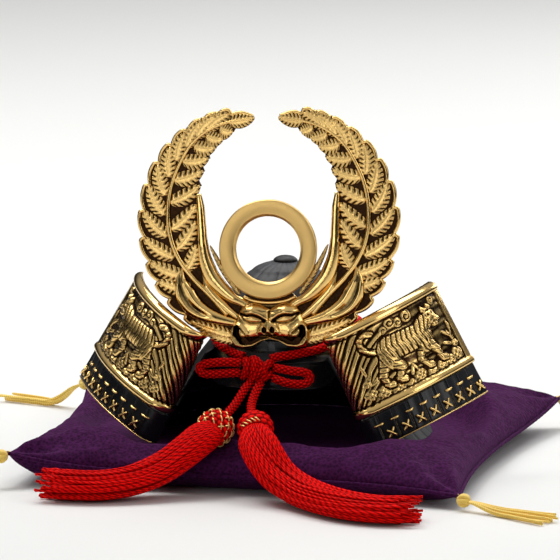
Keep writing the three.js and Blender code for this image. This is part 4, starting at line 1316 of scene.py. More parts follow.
TURN_TOP = {"out": (57.5, -0.6), "in": (30.3, -41.8), "bulge": 5.5}
TURN_BOTTOM = {"out": (80.8, -5.4), "in": (49.0, -43.5), "bulge": 4.0}
TURN_BEND = 4.5
TURN_STUB = 2.5
TURN_INNER_X = 23.5
TURN_TOP_Z = 54.3
TURN_HEIGHT = 52.5
TURN_RISE = 0.486
GOLD_SHARE = 0.73
BAND_TOP_SHARE = 0.738
RIM_WIDTH = 3.5
RIM_BEAD = 1.5
END_RIM = 3.0
PANEL_HIGH = 36.0
ARC_LONG = 50.0
BEND_LONG = 12.0


def turn_shape(t):
    """Plan of a turned-back end at share t of its height: arc, its ends and its bend"""
    outer = np.array([lerp(a, b, t) for a, b in zip(TURN_TOP["out"], TURN_BOTTOM["out"])])
    inner = np.array([lerp(a, b, t) for a, b in zip(TURN_TOP["in"], TURN_BOTTOM["in"])])
    bulge = lerp(TURN_TOP["bulge"], TURN_BOTTOM["bulge"], t)
    chord = inner - outer
    half = np.linalg.norm(chord) / 2
    radius = (half * half + bulge * bulge) / (2 * bulge)
    along = chord / np.linalg.norm(chord)
    front = np.array((-along[1], along[0]))
    if front[1] > 0:
        front = -front
    centre = (outer + inner) / 2 + front * (bulge - radius)
    start = math.atan2(outer[1] - centre[1], outer[0] - centre[0])
    end = math.atan2(inner[1] - centre[1], inner[0] - centre[0])
    to_bend = (inner - centre) / np.linalg.norm(inner - centre)
    return centre, radius, start, end, to_bend, inner - to_bend * TURN_BEND


ARC_END = 0.84
BEND_END = 0.975


def turn_at(a, t, shape=None):
    """Plan point and outward direction at share a of the way from the outer end to the stub"""
    centre, radius, start, end, to_bend, bend = shape or turn_shape(t)
    if a <= ARC_END:
        angle = lerp(start, end, a / ARC_END)
        out = np.array((math.cos(angle), math.sin(angle)))
        at = centre + out * radius
    elif a <= BEND_END:
        angle = lerp(math.atan2(to_bend[1], to_bend[0]), -math.pi, (a - ARC_END) / (BEND_END - ARC_END))
        out = np.array((math.cos(angle), math.sin(angle)))
        at = bend + out * TURN_BEND
    else:
        out = np.array((-1.0, 0.0))
        at = bend + out * TURN_BEND + np.array((0.0, TURN_STUB * (a - BEND_END) / (1 - BEND_END)))
    return at, out


def turn_z(x, t):
    """Height at share t, higher towards the outer end"""
    return TURN_TOP_Z - t * TURN_HEIGHT + TURN_RISE * (x - TURN_INNER_X)


def turn_point(a, t, depth=0.0, shape=None):
    """A point of a turned-back end, depth mm out from its face"""
    at, out = turn_at(a, t, shape)
    x, y = at + out * depth
    return np.array((x, y, turn_z(at[0], t)))


def bar_gap(s, d, start, end):
    """Distance in mm to a straight bar, and the share of the way along it"""
    (ax, ay), (bx, by) = start, end
    long = max((bx - ax) ** 2 + (by - ay) ** 2, 1e-9)
    t = np.clip(((s - ax) * (bx - ax) + (d - ay) * (by - ay)) / long, 0, 1)
    return np.hypot(s - (ax + t * (bx - ax)), d - (ay + t * (by - ay))), t


def bars(s, d, table):
    """Rounded bars as one height field in mm"""
    height = np.zeros_like(s)
    for start, end, r1, r2, high in table:
        far, t = bar_gap(s, d, start, end)
        bar = high * np.sqrt(np.clip(1 - (far / lerp(r1, r2, t)) ** 2, 0, 1))
        height = np.maximum(height, bar)
    return height


def line_gap(s, d, points):
    """Distance in mm to a bent line"""
    best = np.full(np.shape(s), 1e9)
    for start, end in zip(points, points[1:]):
        best = np.minimum(best, bar_gap(s, d, start, end)[0])
    return best


# The walking tiger of the panel, in mm from the outer end and from the top edge:
# start, end, both radii and height of each rounded bar
TIGER_BODY = [
    ((20, 16), (36, 15.2), 4.7, 5.0, 1.5), ((19.5, 16.5), (20.5, 19.5), 4.6, 4.2, 1.6),
    ((36, 16.5), (37, 19), 5.0, 4.6, 1.6), ((21, 14.6), (15.5, 11.6), 3.9, 3.2, 1.6),
]
TIGER_LIMBS = [
    ((19, 19.5), (16, 24), 2.6, 1.9, 1.5), ((16, 24), (15.2, 27.6), 1.8, 1.5, 1.3),
    ((14.8, 28), (13.2, 28.4), 1.7, 1.5, 1.3), ((22.5, 20), (24.6, 24.6), 2.2, 1.6, 1.0),
    ((24.6, 24.6), (22.4, 28), 1.5, 1.3, 0.9), ((22, 28.3), (20.6, 28.6), 1.5, 1.4, 0.9),
    ((37, 19), (33.6, 23.6), 3.6, 2.3, 1.6), ((33.6, 23.6), (36.2, 27.4), 1.8, 1.5, 1.4),
    ((35.8, 28), (34.0, 28.6), 1.6, 1.5, 1.3), ((39, 19.5), (41.8, 24), 2.8, 1.8, 1.1),
    ((41.8, 24), (41.2, 27.8), 1.6, 1.4, 1.0), ((40.8, 28.2), (39.2, 28.6), 1.5, 1.4, 0.9),
]
TIGER_TAIL = [(39.6, 14.6), (43.4, 13.4), (45.8, 10.4), (45.6, 7.2), (43.2, 5.8), (40.6, 6.6)]
TIGER_HEAD = [
    ((13.6, 10.8), (13.2, 10.8), 3.6, 3.5, 1.9), ((11.2, 12.2), (10.4, 12.5), 2.1, 1.8, 2.2),
    ((15.2, 7.6), (15.4, 7.2), 1.3, 1.0, 1.7), ((12.0, 7.4), (11.8, 7.0), 1.1, 0.9, 1.6),
    ((12.4, 14.2), (11.4, 14.4), 1.5, 1.2, 1.5),
]
# Place and radius
ROCKS = [
    (6.5, 29.6, 3.4), (11.0, 31.2, 3.2), (16.5, 31.6, 3.6), (22.0, 31.8, 3.2), (28.0, 30.4, 3.6),
    (32.6, 31.8, 2.8), (38.0, 31.6, 3.6), (44.0, 30.2, 3.8), (48.6, 28.6, 3.2), (5.4, 25.2, 2.0),
    (48.4, 24.2, 2.2),
]
# Place, heading in degrees and half length
GRASS = [
    (6.0, 22.5, -70, 3.6), (7.8, 20.6, -40, 3.2), (4.9, 18.8, -100, 3.0), (9.2, 24.2, -20, 2.6),
    (46.6, 21.4, -120, 3.4), (48.2, 19.0, -80, 3.2), (45.6, 24.4, -150, 2.8),
    (28.6, 26.2, -60, 2.6), (30.2, 27.0, -110, 2.4),
]
# Place and radius
CLOUDS = [(24.0, 6.4, 2.6), (28.4, 7.2, 2.0), (32.0, 5.8, 2.4), (8.0, 5.6, 1.9), (35.4, 7.6, 1.6)]


def panel_relief(s, d):
    """Height of the relief, in mm, over the sunk field of a panel"""
    bend = np.clip(s - 30, 0, None)
    stream = d - 0.030 * bend**2 + 0.9 * np.sin(s * 0.16 + 0.6)
    ridge = 0.5 + 0.5 * np.cos(2 * np.pi * stream / 3.3 + 1.1 * np.sin(0.75 * stream))
    height = (0.16 + 0.62 * np.clip((s - 22) / 22, 0, 1)) * ridge**0.8
    for x, y, r in CLOUDS:
        far = np.hypot(s - x, d - y)
        curl = 0.5 + 0.5 * np.cos(far * 3.4 - np.arctan2(d - y, s - x))
        height = np.where(far < r, 0.35 + 0.55 * curl * np.clip((r - far) * 2, 0, 1), height)
    for x, y, r in ROCKS:
        far = np.hypot(s - x, (d - y) * 1.15)
        bumps = 0.18 * np.sin(s * 2.6 + y) * np.sin(d * 2.9 + x)
        height = np.maximum(height, (1.0 + bumps) * np.sqrt(np.clip(1 - (far / r) ** 2, 0, 1)))
    for x, y, turn, long in GRASS:
        a = math.radians(turn)
        along = (s - x) * math.cos(a) + (d - y) * math.sin(a)
        across = -(s - x) * math.sin(a) + (d - y) * math.cos(a)
        blade = np.clip(1 - (along / long) ** 2 - (across / 0.75) ** 2, 0, 1)
        vein = 0.25 * bell(across, 0.16) * (blade > 0)
        height = np.maximum(height, 1.05 * np.sqrt(blade) - vein)
    tail = line_gap(s, d, TIGER_TAIL)
    height = np.where(tail < 1.7, 0.05, height)
    bands = 0.75 + 0.25 * np.cos((s * 1.5 + d * 2.0) * 1.3)
    height = np.maximum(height, 1.35 * np.sqrt(np.clip(1 - (tail / 1.15) ** 2, 0, 1)) * bands)
    limbs, body, head = (bars(s, d, table) for table in (TIGER_LIMBS, TIGER_BODY, TIGER_HEAD))
    halo = np.maximum(np.maximum(limbs, body), head)
    spread = halo.copy()
    for shift in (1, 2):
        for axis in (0, 1):
            for way in (shift, -shift):
                spread = np.maximum(spread, np.roll(halo, way, axis))
    height = np.where((spread > 0) & (halo <= 0), 0.0, height)
    stripes = np.cos(2 * np.pi * (s + 0.05 * (d - 15) ** 2) / 2.3 + 0.9 * np.sin(d * 0.8))
    cut = np.clip(stripes - 0.45, 0, 1) * 1.1 * np.clip(np.abs(d - 15.6) / 3.0, 0.25, 1)
    fur = 0.07 * np.sin(s * 6.5 + d * 3.0)
    body = np.where(body > 0.15, body - 0.75 * cut + fur, body)
    leg_bands = np.clip(np.cos(2 * np.pi * (d + 0.3 * s) / 2.2) - 0.4, 0, 1)
    limbs = np.where(limbs > 0.15, limbs - 0.5 * leg_bands * (d < 27.4), limbs)
    features = [((11.7, 9.6), 0.55), ((14.2, 9.8), 0.5), ((9.2, 11.6), 0.5), ((10.6, 11.4), 0.35)]
    for (x, y), r in features:
        head = np.where(head > 0.1, head - 1.1 * bell(np.hypot(s - x, d - y), r), head)
    mouth = line_gap(s, d, [(9.0, 13.4), (10.8, 13.4), (12.6, 12.8)])
    brow = line_gap(s, d, [(11.0, 8.4), (12.0, 8.0), (13.2, 8.4), (14.6, 8.2)])
    cheek = line_gap(s, d, [(15.6, 9.6), (15.9, 11.4), (15.0, 13.4)])
    for gap in (mouth, brow, cheek):
        head = np.where(head > 0.1, head - 0.8 * bell(gap, 0.3), head)
    figure = np.maximum(np.maximum(limbs, body), head)
    return np.where(halo > 0.12, figure, height)


def blurred(field, reach):
    """Mean over a square of cells, for telling high places from low ones"""
    padded = np.pad(field, reach, mode="edge")
    total = np.zeros_like(field)
    rows, columns = field.shape
    for i in range(2 * reach + 1):
        total += padded[i : i + rows, reach : reach + columns]
    total /= 2 * reach + 1
    padded = np.pad(total, reach, mode="edge")
    out = np.zeros_like(field)
    for j in range(2 * reach + 1):
        out += padded[reach : reach + rows, j : j + columns]
    return out / (2 * reach + 1)


PANEL_COLUMNS = 250
PANEL_ROWS = 132
RELIEF_UNIT = 1.3


def panel_field():
    """Depth, relief and polish of the panel's front, over its grid of points"""
    a = np.linspace(0, 1, PANEL_COLUMNS + 1)[:, None] * np.ones((1, PANEL_ROWS + 1))
    down = np.ones((PANEL_COLUMNS + 1, 1)) * np.linspace(0, 1, PANEL_ROWS + 1)[None, :]
    past = (a - ARC_END) / (1 - ARC_END)
    s = np.where(a < ARC_END, a / ARC_END * ARC_LONG, ARC_LONG + past * BEND_LONG)
    d = down * PANEL_HIGH
    height = panel_relief(s, d) * (sizes().relief_depth / MM / RELIEF_UNIT)
    cavity = 0.58 + 1.9 * (height - blurred(height, 3)) + 0.9 * (height - blurred(height, 9))
    cavity = np.clip(cavity, 0, 1)
    edge = np.minimum(d, PANEL_HIGH - d)
    half = RIM_WIDTH / 2
    rim = np.clip((RIM_WIDTH - edge) / 0.35, 0, 1)
    bead = RIM_BEAD * np.sqrt(np.clip(1 - ((edge - half) / half) ** 2, 0, 1))
    line = bell(edge - 3.9, 0.35)
    height = np.where(edge < RIM_WIDTH, bead, height)
    cavity = cavity * (1 - rim) + rim
    polish = np.maximum(rim, 0.35)
    end = np.clip((END_RIM - s) / 0.3, 0, 1)
    inner_line = bell(s - 3.4, 0.3) * (edge > 3.2)
    height = np.where((s < END_RIM) & (edge >= 3.2), 0.75, height)
    cavity = np.maximum(cavity, end)
    polish = np.maximum(polish, end)
    dark = np.clip(line * (s > END_RIM) + inner_line, 0, 1)
    height = height - 0.35 * dark
    cavity = cavity * (1 - dark)
    return height, cavity, polish * (1 - dark)


def panel_mesh():
    """The right panel: a carved front, a plain back, closed all round"""
    height, cavity, polish = panel_field()
    back = 6
    shapes = [turn_shape(GOLD_SHARE * row / PANEL_ROWS) for row in range(PANEL_ROWS + 1)]
    ring = [(row, True) for row in range(PANEL_ROWS + 1)]
    ring += [(int(PANEL_ROWS * (1 - k / back)), False) for k in range(back + 1)]
    mesh = new_mesh()

    def lay(u, v):
        row, front = at_share(ring, u)
        column = int(round(v * PANEL_COLUMNS))
        a = column / PANEL_COLUMNS
        t = GOLD_SHARE * row / PANEL_ROWS
        depth = height[column, row] if front else -WALL
        shade = cavity[column, row] if front else 0.75
        shine = polish[column, row] if front else 0.3
        return turn_point(a, t, depth, shapes[row]), float(shade), float(shine)

    laid_grid(mesh, len(ring), PANEL_COLUMNS, lay)
    return mesh


def mirror_copy(mesh):
    """The left-hand twin of a mesh"""
    twin = mesh.copy()
    for vert in twin.verts:
        vert.co.x = -vert.co.x
    bmesh.ops.reverse_faces(twin, faces=twin.faces[:])
    return twin


class KABUTO_OT_panels(bpy.types.Operator):
    """Make the two gilt panels with their relief"""

    bl_idname = "kabuto.panels"
    bl_label = "Gilt panels"

    def execute(self, context):
        right = panel_mesh()
        left = mirror_copy(right)
        for side, mesh in (("right", right), ("left", left)):
            add_piece(f"panel_{side}_relief", mesh, antique_gold, "gold", f"turnback_panel_{side}")
        return {"FINISHED"}


BAND_PLATES = 8
BAND_COLUMNS = 260
BAND_ROWS = 16
BAR_HALF = 1.6
LACE_HALF = 1.5


def band_groove(a):
    """Nearness of a share of the way to the gap between two plates"""
    spot = a / ARC_END * BAND_PLATES
    return abs(spot - round(spot)) / BAND_PLATES * ARC_LONG


def band_mesh():
    """The right band of plates, closed all round"""
    shares = [lerp(BAND_TOP_SHARE, 1.0, row / BAND_ROWS) for row in range(BAND_ROWS + 1)]
    shapes = [turn_shape(share) for share in shares]
    ring = [(row, True) for row in range(BAND_ROWS + 1)]
    ring += [(row, False) for row in (BAND_ROWS, BAND_ROWS // 2, 0)]
    mesh = new_mesh()

    def lay(u, v):
        row, front = at_share(ring, u)
        depth = -WALL
        if front:
            gap = band_groove(v)
            depth = 0.12 - 0.55 * bell(gap, 0.30) + 0.10 * math.cos(math.pi * gap / 3.2)
            depth -= 0.3 * smooth(row / BAND_ROWS, 0.90, 1.0)
        return turn_point(v, shares[row], depth, shapes[row]), 1.0, 1.0

    laid_grid(mesh, len(ring), BAND_COLUMNS, lay)
    return mesh


def band_threads():
    """Gold bars over the gaps, crossed laces on the plates and a thin gold lower edge"""
    mesh = new_mesh()
    along = (-1, -0.5, 0, 0.5, 1)

    def on_band(a, down, out):
        return turn_point(a, lerp(BAND_TOP_SHARE, 1.0, down), out)

    for k in range(BAND_PLATES + 1):
        a = k / BAND_PLATES * ARC_END
        if 0 < k:
            half = BAR_HALF / ARC_LONG * ARC_END
            route = [on_band(a + f * half, 0.33, 0.55 - 0.5 * abs(f) ** 3) for f in along]
            tube(mesh, route, 0.48, step=0.4, polish=0.6)
            seam = [on_band(a, down, 0.02) for down in np.linspace(0.42, 0.97, 6)]
            tube(mesh, seam, 0.09, around=6, step=0.8, relief=0.45, polish=0.6)
        if k < BAND_PLATES:
            centre = (k + 0.5) / BAND_PLATES * ARC_END
            half = LACE_HALF / ARC_LONG * ARC_END
            for lean, out in ((1, 0.50), (-1, 0.95)):
                route = [
                    on_band(centre + f * half, 0.70 + lean * 0.125 * f, out - 0.45 * abs(f) ** 3)
                    for f in along
                ]
                tube(mesh, route, 0.50, step=0.4, polish=0.6)
    edge = [on_band(a, 0.995, -0.1) for a in np.linspace(0.0, 0.98, 60)]
    tube(mesh, edge, 0.26, step=0.8, polish=0.6, smooth_line=False)
    return mesh


class KABUTO_OT_bands(bpy.types.Operator):
    """Make the black laced bands below the panels"""

    bl_idname = "kabuto.bands"
    bl_label = "Laced bands"

    def execute(self, context):
        plates = band_mesh()
        threads = band_threads()
        pairs = {"left": (mirror_copy(plates), mirror_copy(threads)), "right": (plates, threads)}
        for side, (band, laces) in pairs.items():
            node = f"turnback_band_{side}"
            add_piece(f"band_{side}_plates", band, black_lacquer, "black_lacquer", node)
            add_piece(f"band_{side}_laces", laces, antique_gold, "gold")
        return {"FINISHED"}


# Neck guard


PLAN_POINTS = 96
PLAN_CURVE = 24
LAME_TUCK = 2.6
LAST_LAME_PLATES = 28
LAST_LAME_PITCH = 8.4


def neck_radius(z):
    """Outer radius of the guard's cone at a height"""
    return HANG_RADIUS + (FLARE_TOP - z) * NECK_SLOPE


def neck_plan(t, radius):
    """Half plan of a lame from its joint with the turned-back end to the middle of the back"""
    join = turn_point(1.0, t)
    start = np.array((join[0] + WALL, join[1] + CLEARANCE))
    turn = math.radians(66)
    onto = np.array((radius * math.sin(turn), -radius * math.cos(turn)))
    along = np.array((math.cos(turn), math.sin(turn)))
    reach = np.linalg.norm(onto - start) * 0.4
    leave = start + np.array((0.0, reach))
    arrive = onto - along * reach
    rows = []
    for f in np.linspace(0, 1, PLAN_CURVE, endpoint=False):
        g = 1 - f
        rows.append(g**3 * start + 3 * g**2 * f * leave + 3 * g * f**2 * arrive + f**3 * onto)
    for f in np.linspace(0, 1, PLAN_POINTS - PLAN_CURVE):
        rows.append(about_axis(radius, lerp(turn, math.pi, f), 0.0)[:2])
    return np.array(rows)


def plan_share(k):
    """Share of the way along the half plan at its point k"""
    if k < PLAN_CURVE:
        return 0.4 * k / PLAN_CURVE
    return lerp(0.4, 1.0, (k - PLAN_CURVE) / (PLAN_POINTS - PLAN_CURVE - 1))


def section_ring(rows):
    """Shares down a lame and insets round its section: the front in even steps, then the back"""
    return [(r / rows, 0.0) for r in range(rows + 1)] + [(r, WALL) for r in (1.0, 0.5, 0.0)]


def plate_cut(spot, pitch, inset):
    """Depth of the gap between two plates, in mm, on the front only"""
    gap = abs(spot - round(spot)) * pitch
    return 0.5 * bell(gap, 0.55) if inset == 0 else 0.0


def lame_mesh(top, bottom, top_height, bottom_height, tuck, plates):
    """A whole lame, with upright gaps between its plates and a turned lower edge"""
    plans = [
        neck_plan(top[0], neck_radius(top[1]) - tuck),
        neck_plan(bottom[0], neck_radius(bottom[1])),
    ]
    high, low = (np.concatenate([plan * (-1, 1), plan[::-1][1:]]) for plan in plans)
    last = len(high) - 1
    shares = [plan_share(k) for k in range(PLAN_POINTS)]
    shares = shares + shares[::-1][1:]
    ring = section_ring(10)
    far = np.concatenate([[0.0], np.cumsum(np.linalg.norm(np.diff(low, axis=0), axis=1))])
    pitch = far[-1] / plates
    mesh = new_mesh()

    def lay(u, v):
        down, inset = at_share(ring, u)
        i = int(round(v * last))
        before, at, after = (lerp(high[k], low[k], down) for k in (max(i - 1, 0), i, min(i + 1, last)))
        along = (after - before) / np.linalg.norm(after - before)
        out = np.array((along[1], -along[0]))
        if np.dot(out, at) < 0:
            out = -out
        z = lerp(top_height(shares[i]), bottom_height(shares[i]), down)
        point = at - out * (inset + plate_cut(far[i] / pitch, pitch, inset))
        return np.array((point[0], point[1], z)), 1.0, 1.0

    laid_grid(mesh, len(ring), last, lay)
    return mesh


def last_lame_mesh():
    """The lowest lame, which goes round the sides and the back only"""
    ring = section_ring(8)
    low, high = LAME_BOTTOMS[2], LAME_TOPS[2]
    mesh = new_mesh()

    def lay(u, v):
        down, inset = at_share(ring, u)
        angle = math.radians(lerp(60, 300, v))
        z = lerp(high, low, down)
        cut = plate_cut(v * LAST_LAME_PLATES, LAST_LAME_PITCH, inset)
        radius = neck_radius(z) - inset - LAME_TUCK * (1 - down) - cut
        return about_axis(radius, angle, z), 1.0, 1.0

    laid_grid(mesh, len(ring), 300, lay)
    return mesh


class KABUTO_OT_neck_guard(bpy.types.Operator):
    """Make the three plated lames of the neck guard"""

    bl_idname = "kabuto.neck_guard"
    bl_label = "Neck guard"

    def execute(self, context):
        front_low = turn_point(1.0, GOLD_SHARE)[2]
        band_low = turn_point(1.0, 1.0)[2]
        tops, bottoms = LAME_TOPS, LAME_BOTTOMS

        def first_top(share):
            return tops[0]

        def first_low(share):
            return lerp(front_low, bottoms[0], smooth(share, 0, 0.3))

        def second_top(share):
            return first_low(share) - 0.6 + 2.8 * smooth(share, 0.4, 0.6)

        def second_low(share):
            return lerp(band_low, bottoms[1], smooth(share, 0, 0.25))

        middle = (GOLD_SHARE, tops[1]), (1.0, bottoms[1])
        lames = [
            lame_mesh((0, tops[0]), (GOLD_SHARE, bottoms[0]), first_top, first_low, 0.0, 30),
            lame_mesh(*middle, second_top, second_low, LAME_TUCK, 36),
            last_lame_mesh(),
        ]
        for number, mesh in enumerate(lames, 1):
            name = f"neck_lame_{number}"
            add_piece(f"{name}_plates", mesh, guard_lacquer, "black_lacquer", name, sharp=55)
        return {"FINISHED"}


# Crest

CREST_AT = (0.4, -28.4, 57.0)
CREST_LEAN = 6.2
CREST_TILT = 2.5
PLATE = 1.6
FROND_CENTRE = (6.0, 45.0)
FROND_REACH = 44.2
FROND_FOOT = -70.0
FROND_TOP = 91.0
# Angle in degrees, then the radii of the outer edge, the rib and the inner edge
FROND_TABLE = [
    (-66, 1.17, 0.95, 0.86), (-46, 1.125, 0.85, 0.72), (-25, 1.065, 0.79, 0.53),
    (0, 1.0, 0.756, 0.486), (25, 0.945, 0.756, 0.492), (50, 0.897, 0.758, 0.565),
    (75, 0.865, 0.76, 0.655), (93, 0.77, 0.763, 0.756),
]
OUTER_TIPS = [-67, -57, -46.5, -37, -27, -15, -1.5, 12, 24.5, 36.5, 48, 59, 68.5, 77]
INNER_TIPS = [-32, -13, 3, 22, 36, 48, 58, 67, 76]
INNER_LAGS = [10.5, 15.5, 18, 19, 17.5, 15, 12, 10, 8]


def on_crest(x, y, z):
    """From the crest's own plane (across, up, towards the front) to the part, in mm"""
    tilt, lean = math.radians(CREST_TILT), math.radians(90 - CREST_LEAN)
    x, y = x * math.cos(tilt) - y * math.sin(tilt), x * math.sin(tilt) + y * math.cos(tilt)
    y, z = y * math.cos(lean) - z * math.sin(lean), y * math.sin(lean) + z * math.cos(lean)
    return np.array((CREST_AT[0] + x, CREST_AT[1] + y, CREST_AT[2] + z))


def frond_radius(angle, column):
    """Radius in mm of a line of the frond, by its column of the table"""
    table = list(zip(*FROND_TABLE))
    return float(np.interp(angle, table[0], table[column])) * FROND_REACH


def frond_point(angle, radius):
    """Point of the crest's plane at an angle and a radius of the frond"""
    return (
        FROND_CENTRE[0] + radius * math.cos(math.radians(angle)),
        FROND_CENTRE[1] + radius * math.sin(math.radians(angle)),
    )


def share_between(tips, angle):
    """Share of the way between the tips on either side of an angle"""
    edges = [FROND_FOOT - 2, *tips, FROND_TOP + 1]
    for low, high in zip(edges, edges[1:]):
        if angle <= high:
            break
    return min(max((angle - low) / (high - low), 0.0), 1.0)


def outer_edge(angle):
    """Radius of the scalloped outer outline: a rounded hump for each leaflet"""
    f = share_between(OUTER_TIPS, angle)
    hump = -1.9 * (1 - f) ** 1.6 + 0.6 * math.sin(math.pi * f)
    return frond_radius(angle, 1) + 0.1 + hump * (1 - smooth(angle, 78, 90))


def inner_edge(angle):
    """Radius of the inner outline: rounded bites between the tips of the inner leaflets"""
    f = share_between(INNER_TIPS, angle)
    bite = 2.2 * math.sin(math.pi * f) * smooth(angle, 2, 14) * (1 - smooth(angle, 74, 88))
    return frond_radius(angle, 3) + bite - 1.9 * (1 - smooth(angle, 4, 14))


def scallops():
    """Outer outline of a frond, from the chin to the tip"""
    return [frond_point(angle, outer_edge(angle)) for angle in np.linspace(FROND_FOOT, FROND_TOP, 240)]


CHIN_HALF = 27.5
CHIN_LOW = [(0, -5.4), (6, -7.2), (9, -8), (15, -8.4), (20, -7), (24, -4.6), (27.5, -2.6)]
CHIN_HIGH = [(0, 12.8), (8, 12.4), (11, 9.2), (14.5, 9.4), (21.5, 10.6), (27.5, 2.0)]


# Relief of the plate's front and back
PLATE_RELIEF = {1: 0.12, -1: 0.95}


def crest_plate(mesh):
    """The cast plate under the relief: a band along each frond and the chin between them"""
    across = [(0.0, 1), (0.25, 1), (0.5, 1), (0.75, 1), (1.0, 1), (1.0, -1), (0.5, -1), (0.0, -1)]
    for side in (1, -1):

        def lay(u, v, side=side):
            share, front = at_share(across, u)
            angle = lerp(FROND_FOOT, FROND_TOP, v)
            x, y = frond_point(angle, lerp(inner_edge(angle), outer_edge(angle), share))
            return on_crest(side * x, y, 0.5 * PLATE * front), PLATE_RELIEF[front], 0.3

        laid_grid(mesh, len(across), 240, lay)

    def chin(u, v):
        share, front = at_share(across, u)
        x = lerp(-CHIN_HALF, CHIN_HALF, v)
        low = np.interp(abs(x), *zip(*CHIN_LOW))
        high = np.interp(abs(x), *zip(*CHIN_HIGH))
        point = on_crest(x, lerp(low, high, share), (0.5 * PLATE - 0.05) * front)
        return point, PLATE_RELIEF[front], 0.3

    laid_grid(mesh, len(across), 80, chin)


LEAFLET_BOW = 0.8


def leaflet(mesh, base, tip, width, teeth, side, high=None, tint=1.0):
    """A fern leaflet: a rounded blade whose edges are cut into slanting teeth"""
    high = (sizes().leaflet_depth / MM) if high is None else high
    dx, dy = tip[0] - base[0], tip[1] - base[1]
    long = math.hypot(dx, dy)
    across = (-dy / long, dx / long)
    columns, rows = 18, teeth * 7

    def lay(u, v):
        t = 2 * u - 1
        outline = math.sin(math.pi * v**0.80) ** 0.50 if 0 < v < 1 else 0.0
        outline *= lerp(1.0, 0.86, v)
        phase = (v - 0.15 * abs(t)) * teeth
        gap = abs(phase - round(phase)) * 2
        cut = smooth(abs(t), 0.30, 0.58) * (1 - smooth(gap, 0.12, 0.46))
        rise = high * (1 - 0.18 * t * t) * (1 - 0.95 * cut)
        rise *= smooth(outline, 0.0, 0.35)
        vein = 0.10 * bell(t, 0.12) * smooth(v, 0.02, 0.2) * (1 - smooth(v, 0.70, 0.95))
        edge = 1 - smooth(abs(t), 0.90, 1.0)
        off = t * 0.5 * width * outline + LEAFLET_BOW * side * math.sin(math.pi * v)
        x = base[0] + dx * v + across[0] * off
        y = base[1] + dy * v + across[1] * off
        z = 0.5 * PLATE - 0.25 + (0.25 + rise - vein) * edge
        shade = (1 - cut) * (0.45 + 0.55 * edge) * tint
        return on_crest(x, y, z), shade, 0.15

    laid_grid(mesh, columns, rows, lay, wrap=False)


BLADE_SECTION = [-1.0, -0.94, -0.8, -0.6, -0.4, -0.2, 0.0, 0.2, 0.4, 0.6, 0.8, 0.94, 1.0]


def blade(mesh, spine, halves, high, hollow=None, base_z=0.5 * PLATE - 0.3):
    """A polished leaf along a bent spine, given its half widths; hollow lays a trough on one side"""
    count = 60
    points = even(catmull([(x, y, 0.0) for x, y in spine], 12), count)[0]
    spots = np.linspace(0, 1, len(halves))
    ring = [(t, True) for t in BLADE_SECTION] + [(0.6, False), (0.0, False), (-0.6, False)]

    def lay(u, v):
        t, front = at_share(ring, u)
        i = int(round(v * count))
        ahead = points[min(i + 1, count)] - points[max(i - 1, 0)]
        ahead = ahead / np.linalg.norm(ahead)
        half = max(float(np.interp(v, spots, halves)), 0.06)
        x = points[i][0] - ahead[1] * t * half
        y = points[i][1] + ahead[0] * t * half
        swell = min(1.0, half / max(halves) * 1.5)
        z = base_z
        tint = 1.0
        if front:
            z += 0.3 + high * swell * max(1 - abs(t) ** 3, 0.0) ** 0.6
            if hollow:
                centre, reach, depth = hollow
                trough = bell(t - centre, reach) * smooth(v, 0.30, 0.55) * (1 - smooth(v, 0.86, 0.98))
                z -= depth * trough * swell
                tint = 1 - 0.55 * smooth(trough, 0.35, 0.80)
            if abs(t) == 1.0:
                z = base_z
        return on_crest(x, y, z), tint, 1.0

    laid_grid(mesh, len(ring), count, lay)


HORN = [
    (7.6, 6.0), (10.5, 8), (14.5, 10), (19, 13.8), (22.6, 18.3), (25, 24.5), (25.8, 30), (26.2, 37),
    (26.6, 45), (27.2, 50),
]
HORN_HALVES = [1.6, 1.9, 2.7, 3.1, 3.0, 2.4, 1.9, 1.75, 1.65, 1.0]
UPPER_BLADE = [(10.4, 1.4), (13.4, 3.2), (17.5, 6.4), (21.6, 10.2), (24.6, 14.4), (26.4, 19.6)]
UPPER_BLADE_HALVES = [1.0, 1.4, 1.9, 1.9, 1.2, 0.1]
GREAT_LEAF = [
    (10.6, -0.6), (14.0, 0.5), (20, 2.0), (25.5, 4.0), (30, 7), (33.2, 12), (34.6, 17), (34, 21.8),
]
GREAT_LEAF_HALVES = [0.9, 1.6, 2.4, 3.3, 4.1, 4.2, 2.5, 0.1]
MIDRIB = [
    (16.6, 3.6), (22.9, 10.6), (29.2, 17.0), (33.8, 22.8), (36.8, 28.4), (38.7, 34.8), (39.3, 41),
    (39.0, 47.6), (37.2, 55.4), (34.0, 62.4), (30.2, 68.4), (25.6, 72.6), (19.8, 75.8),
    (13.6, 77.6), (9.4, 78.2), (5.6, 78.3),
]


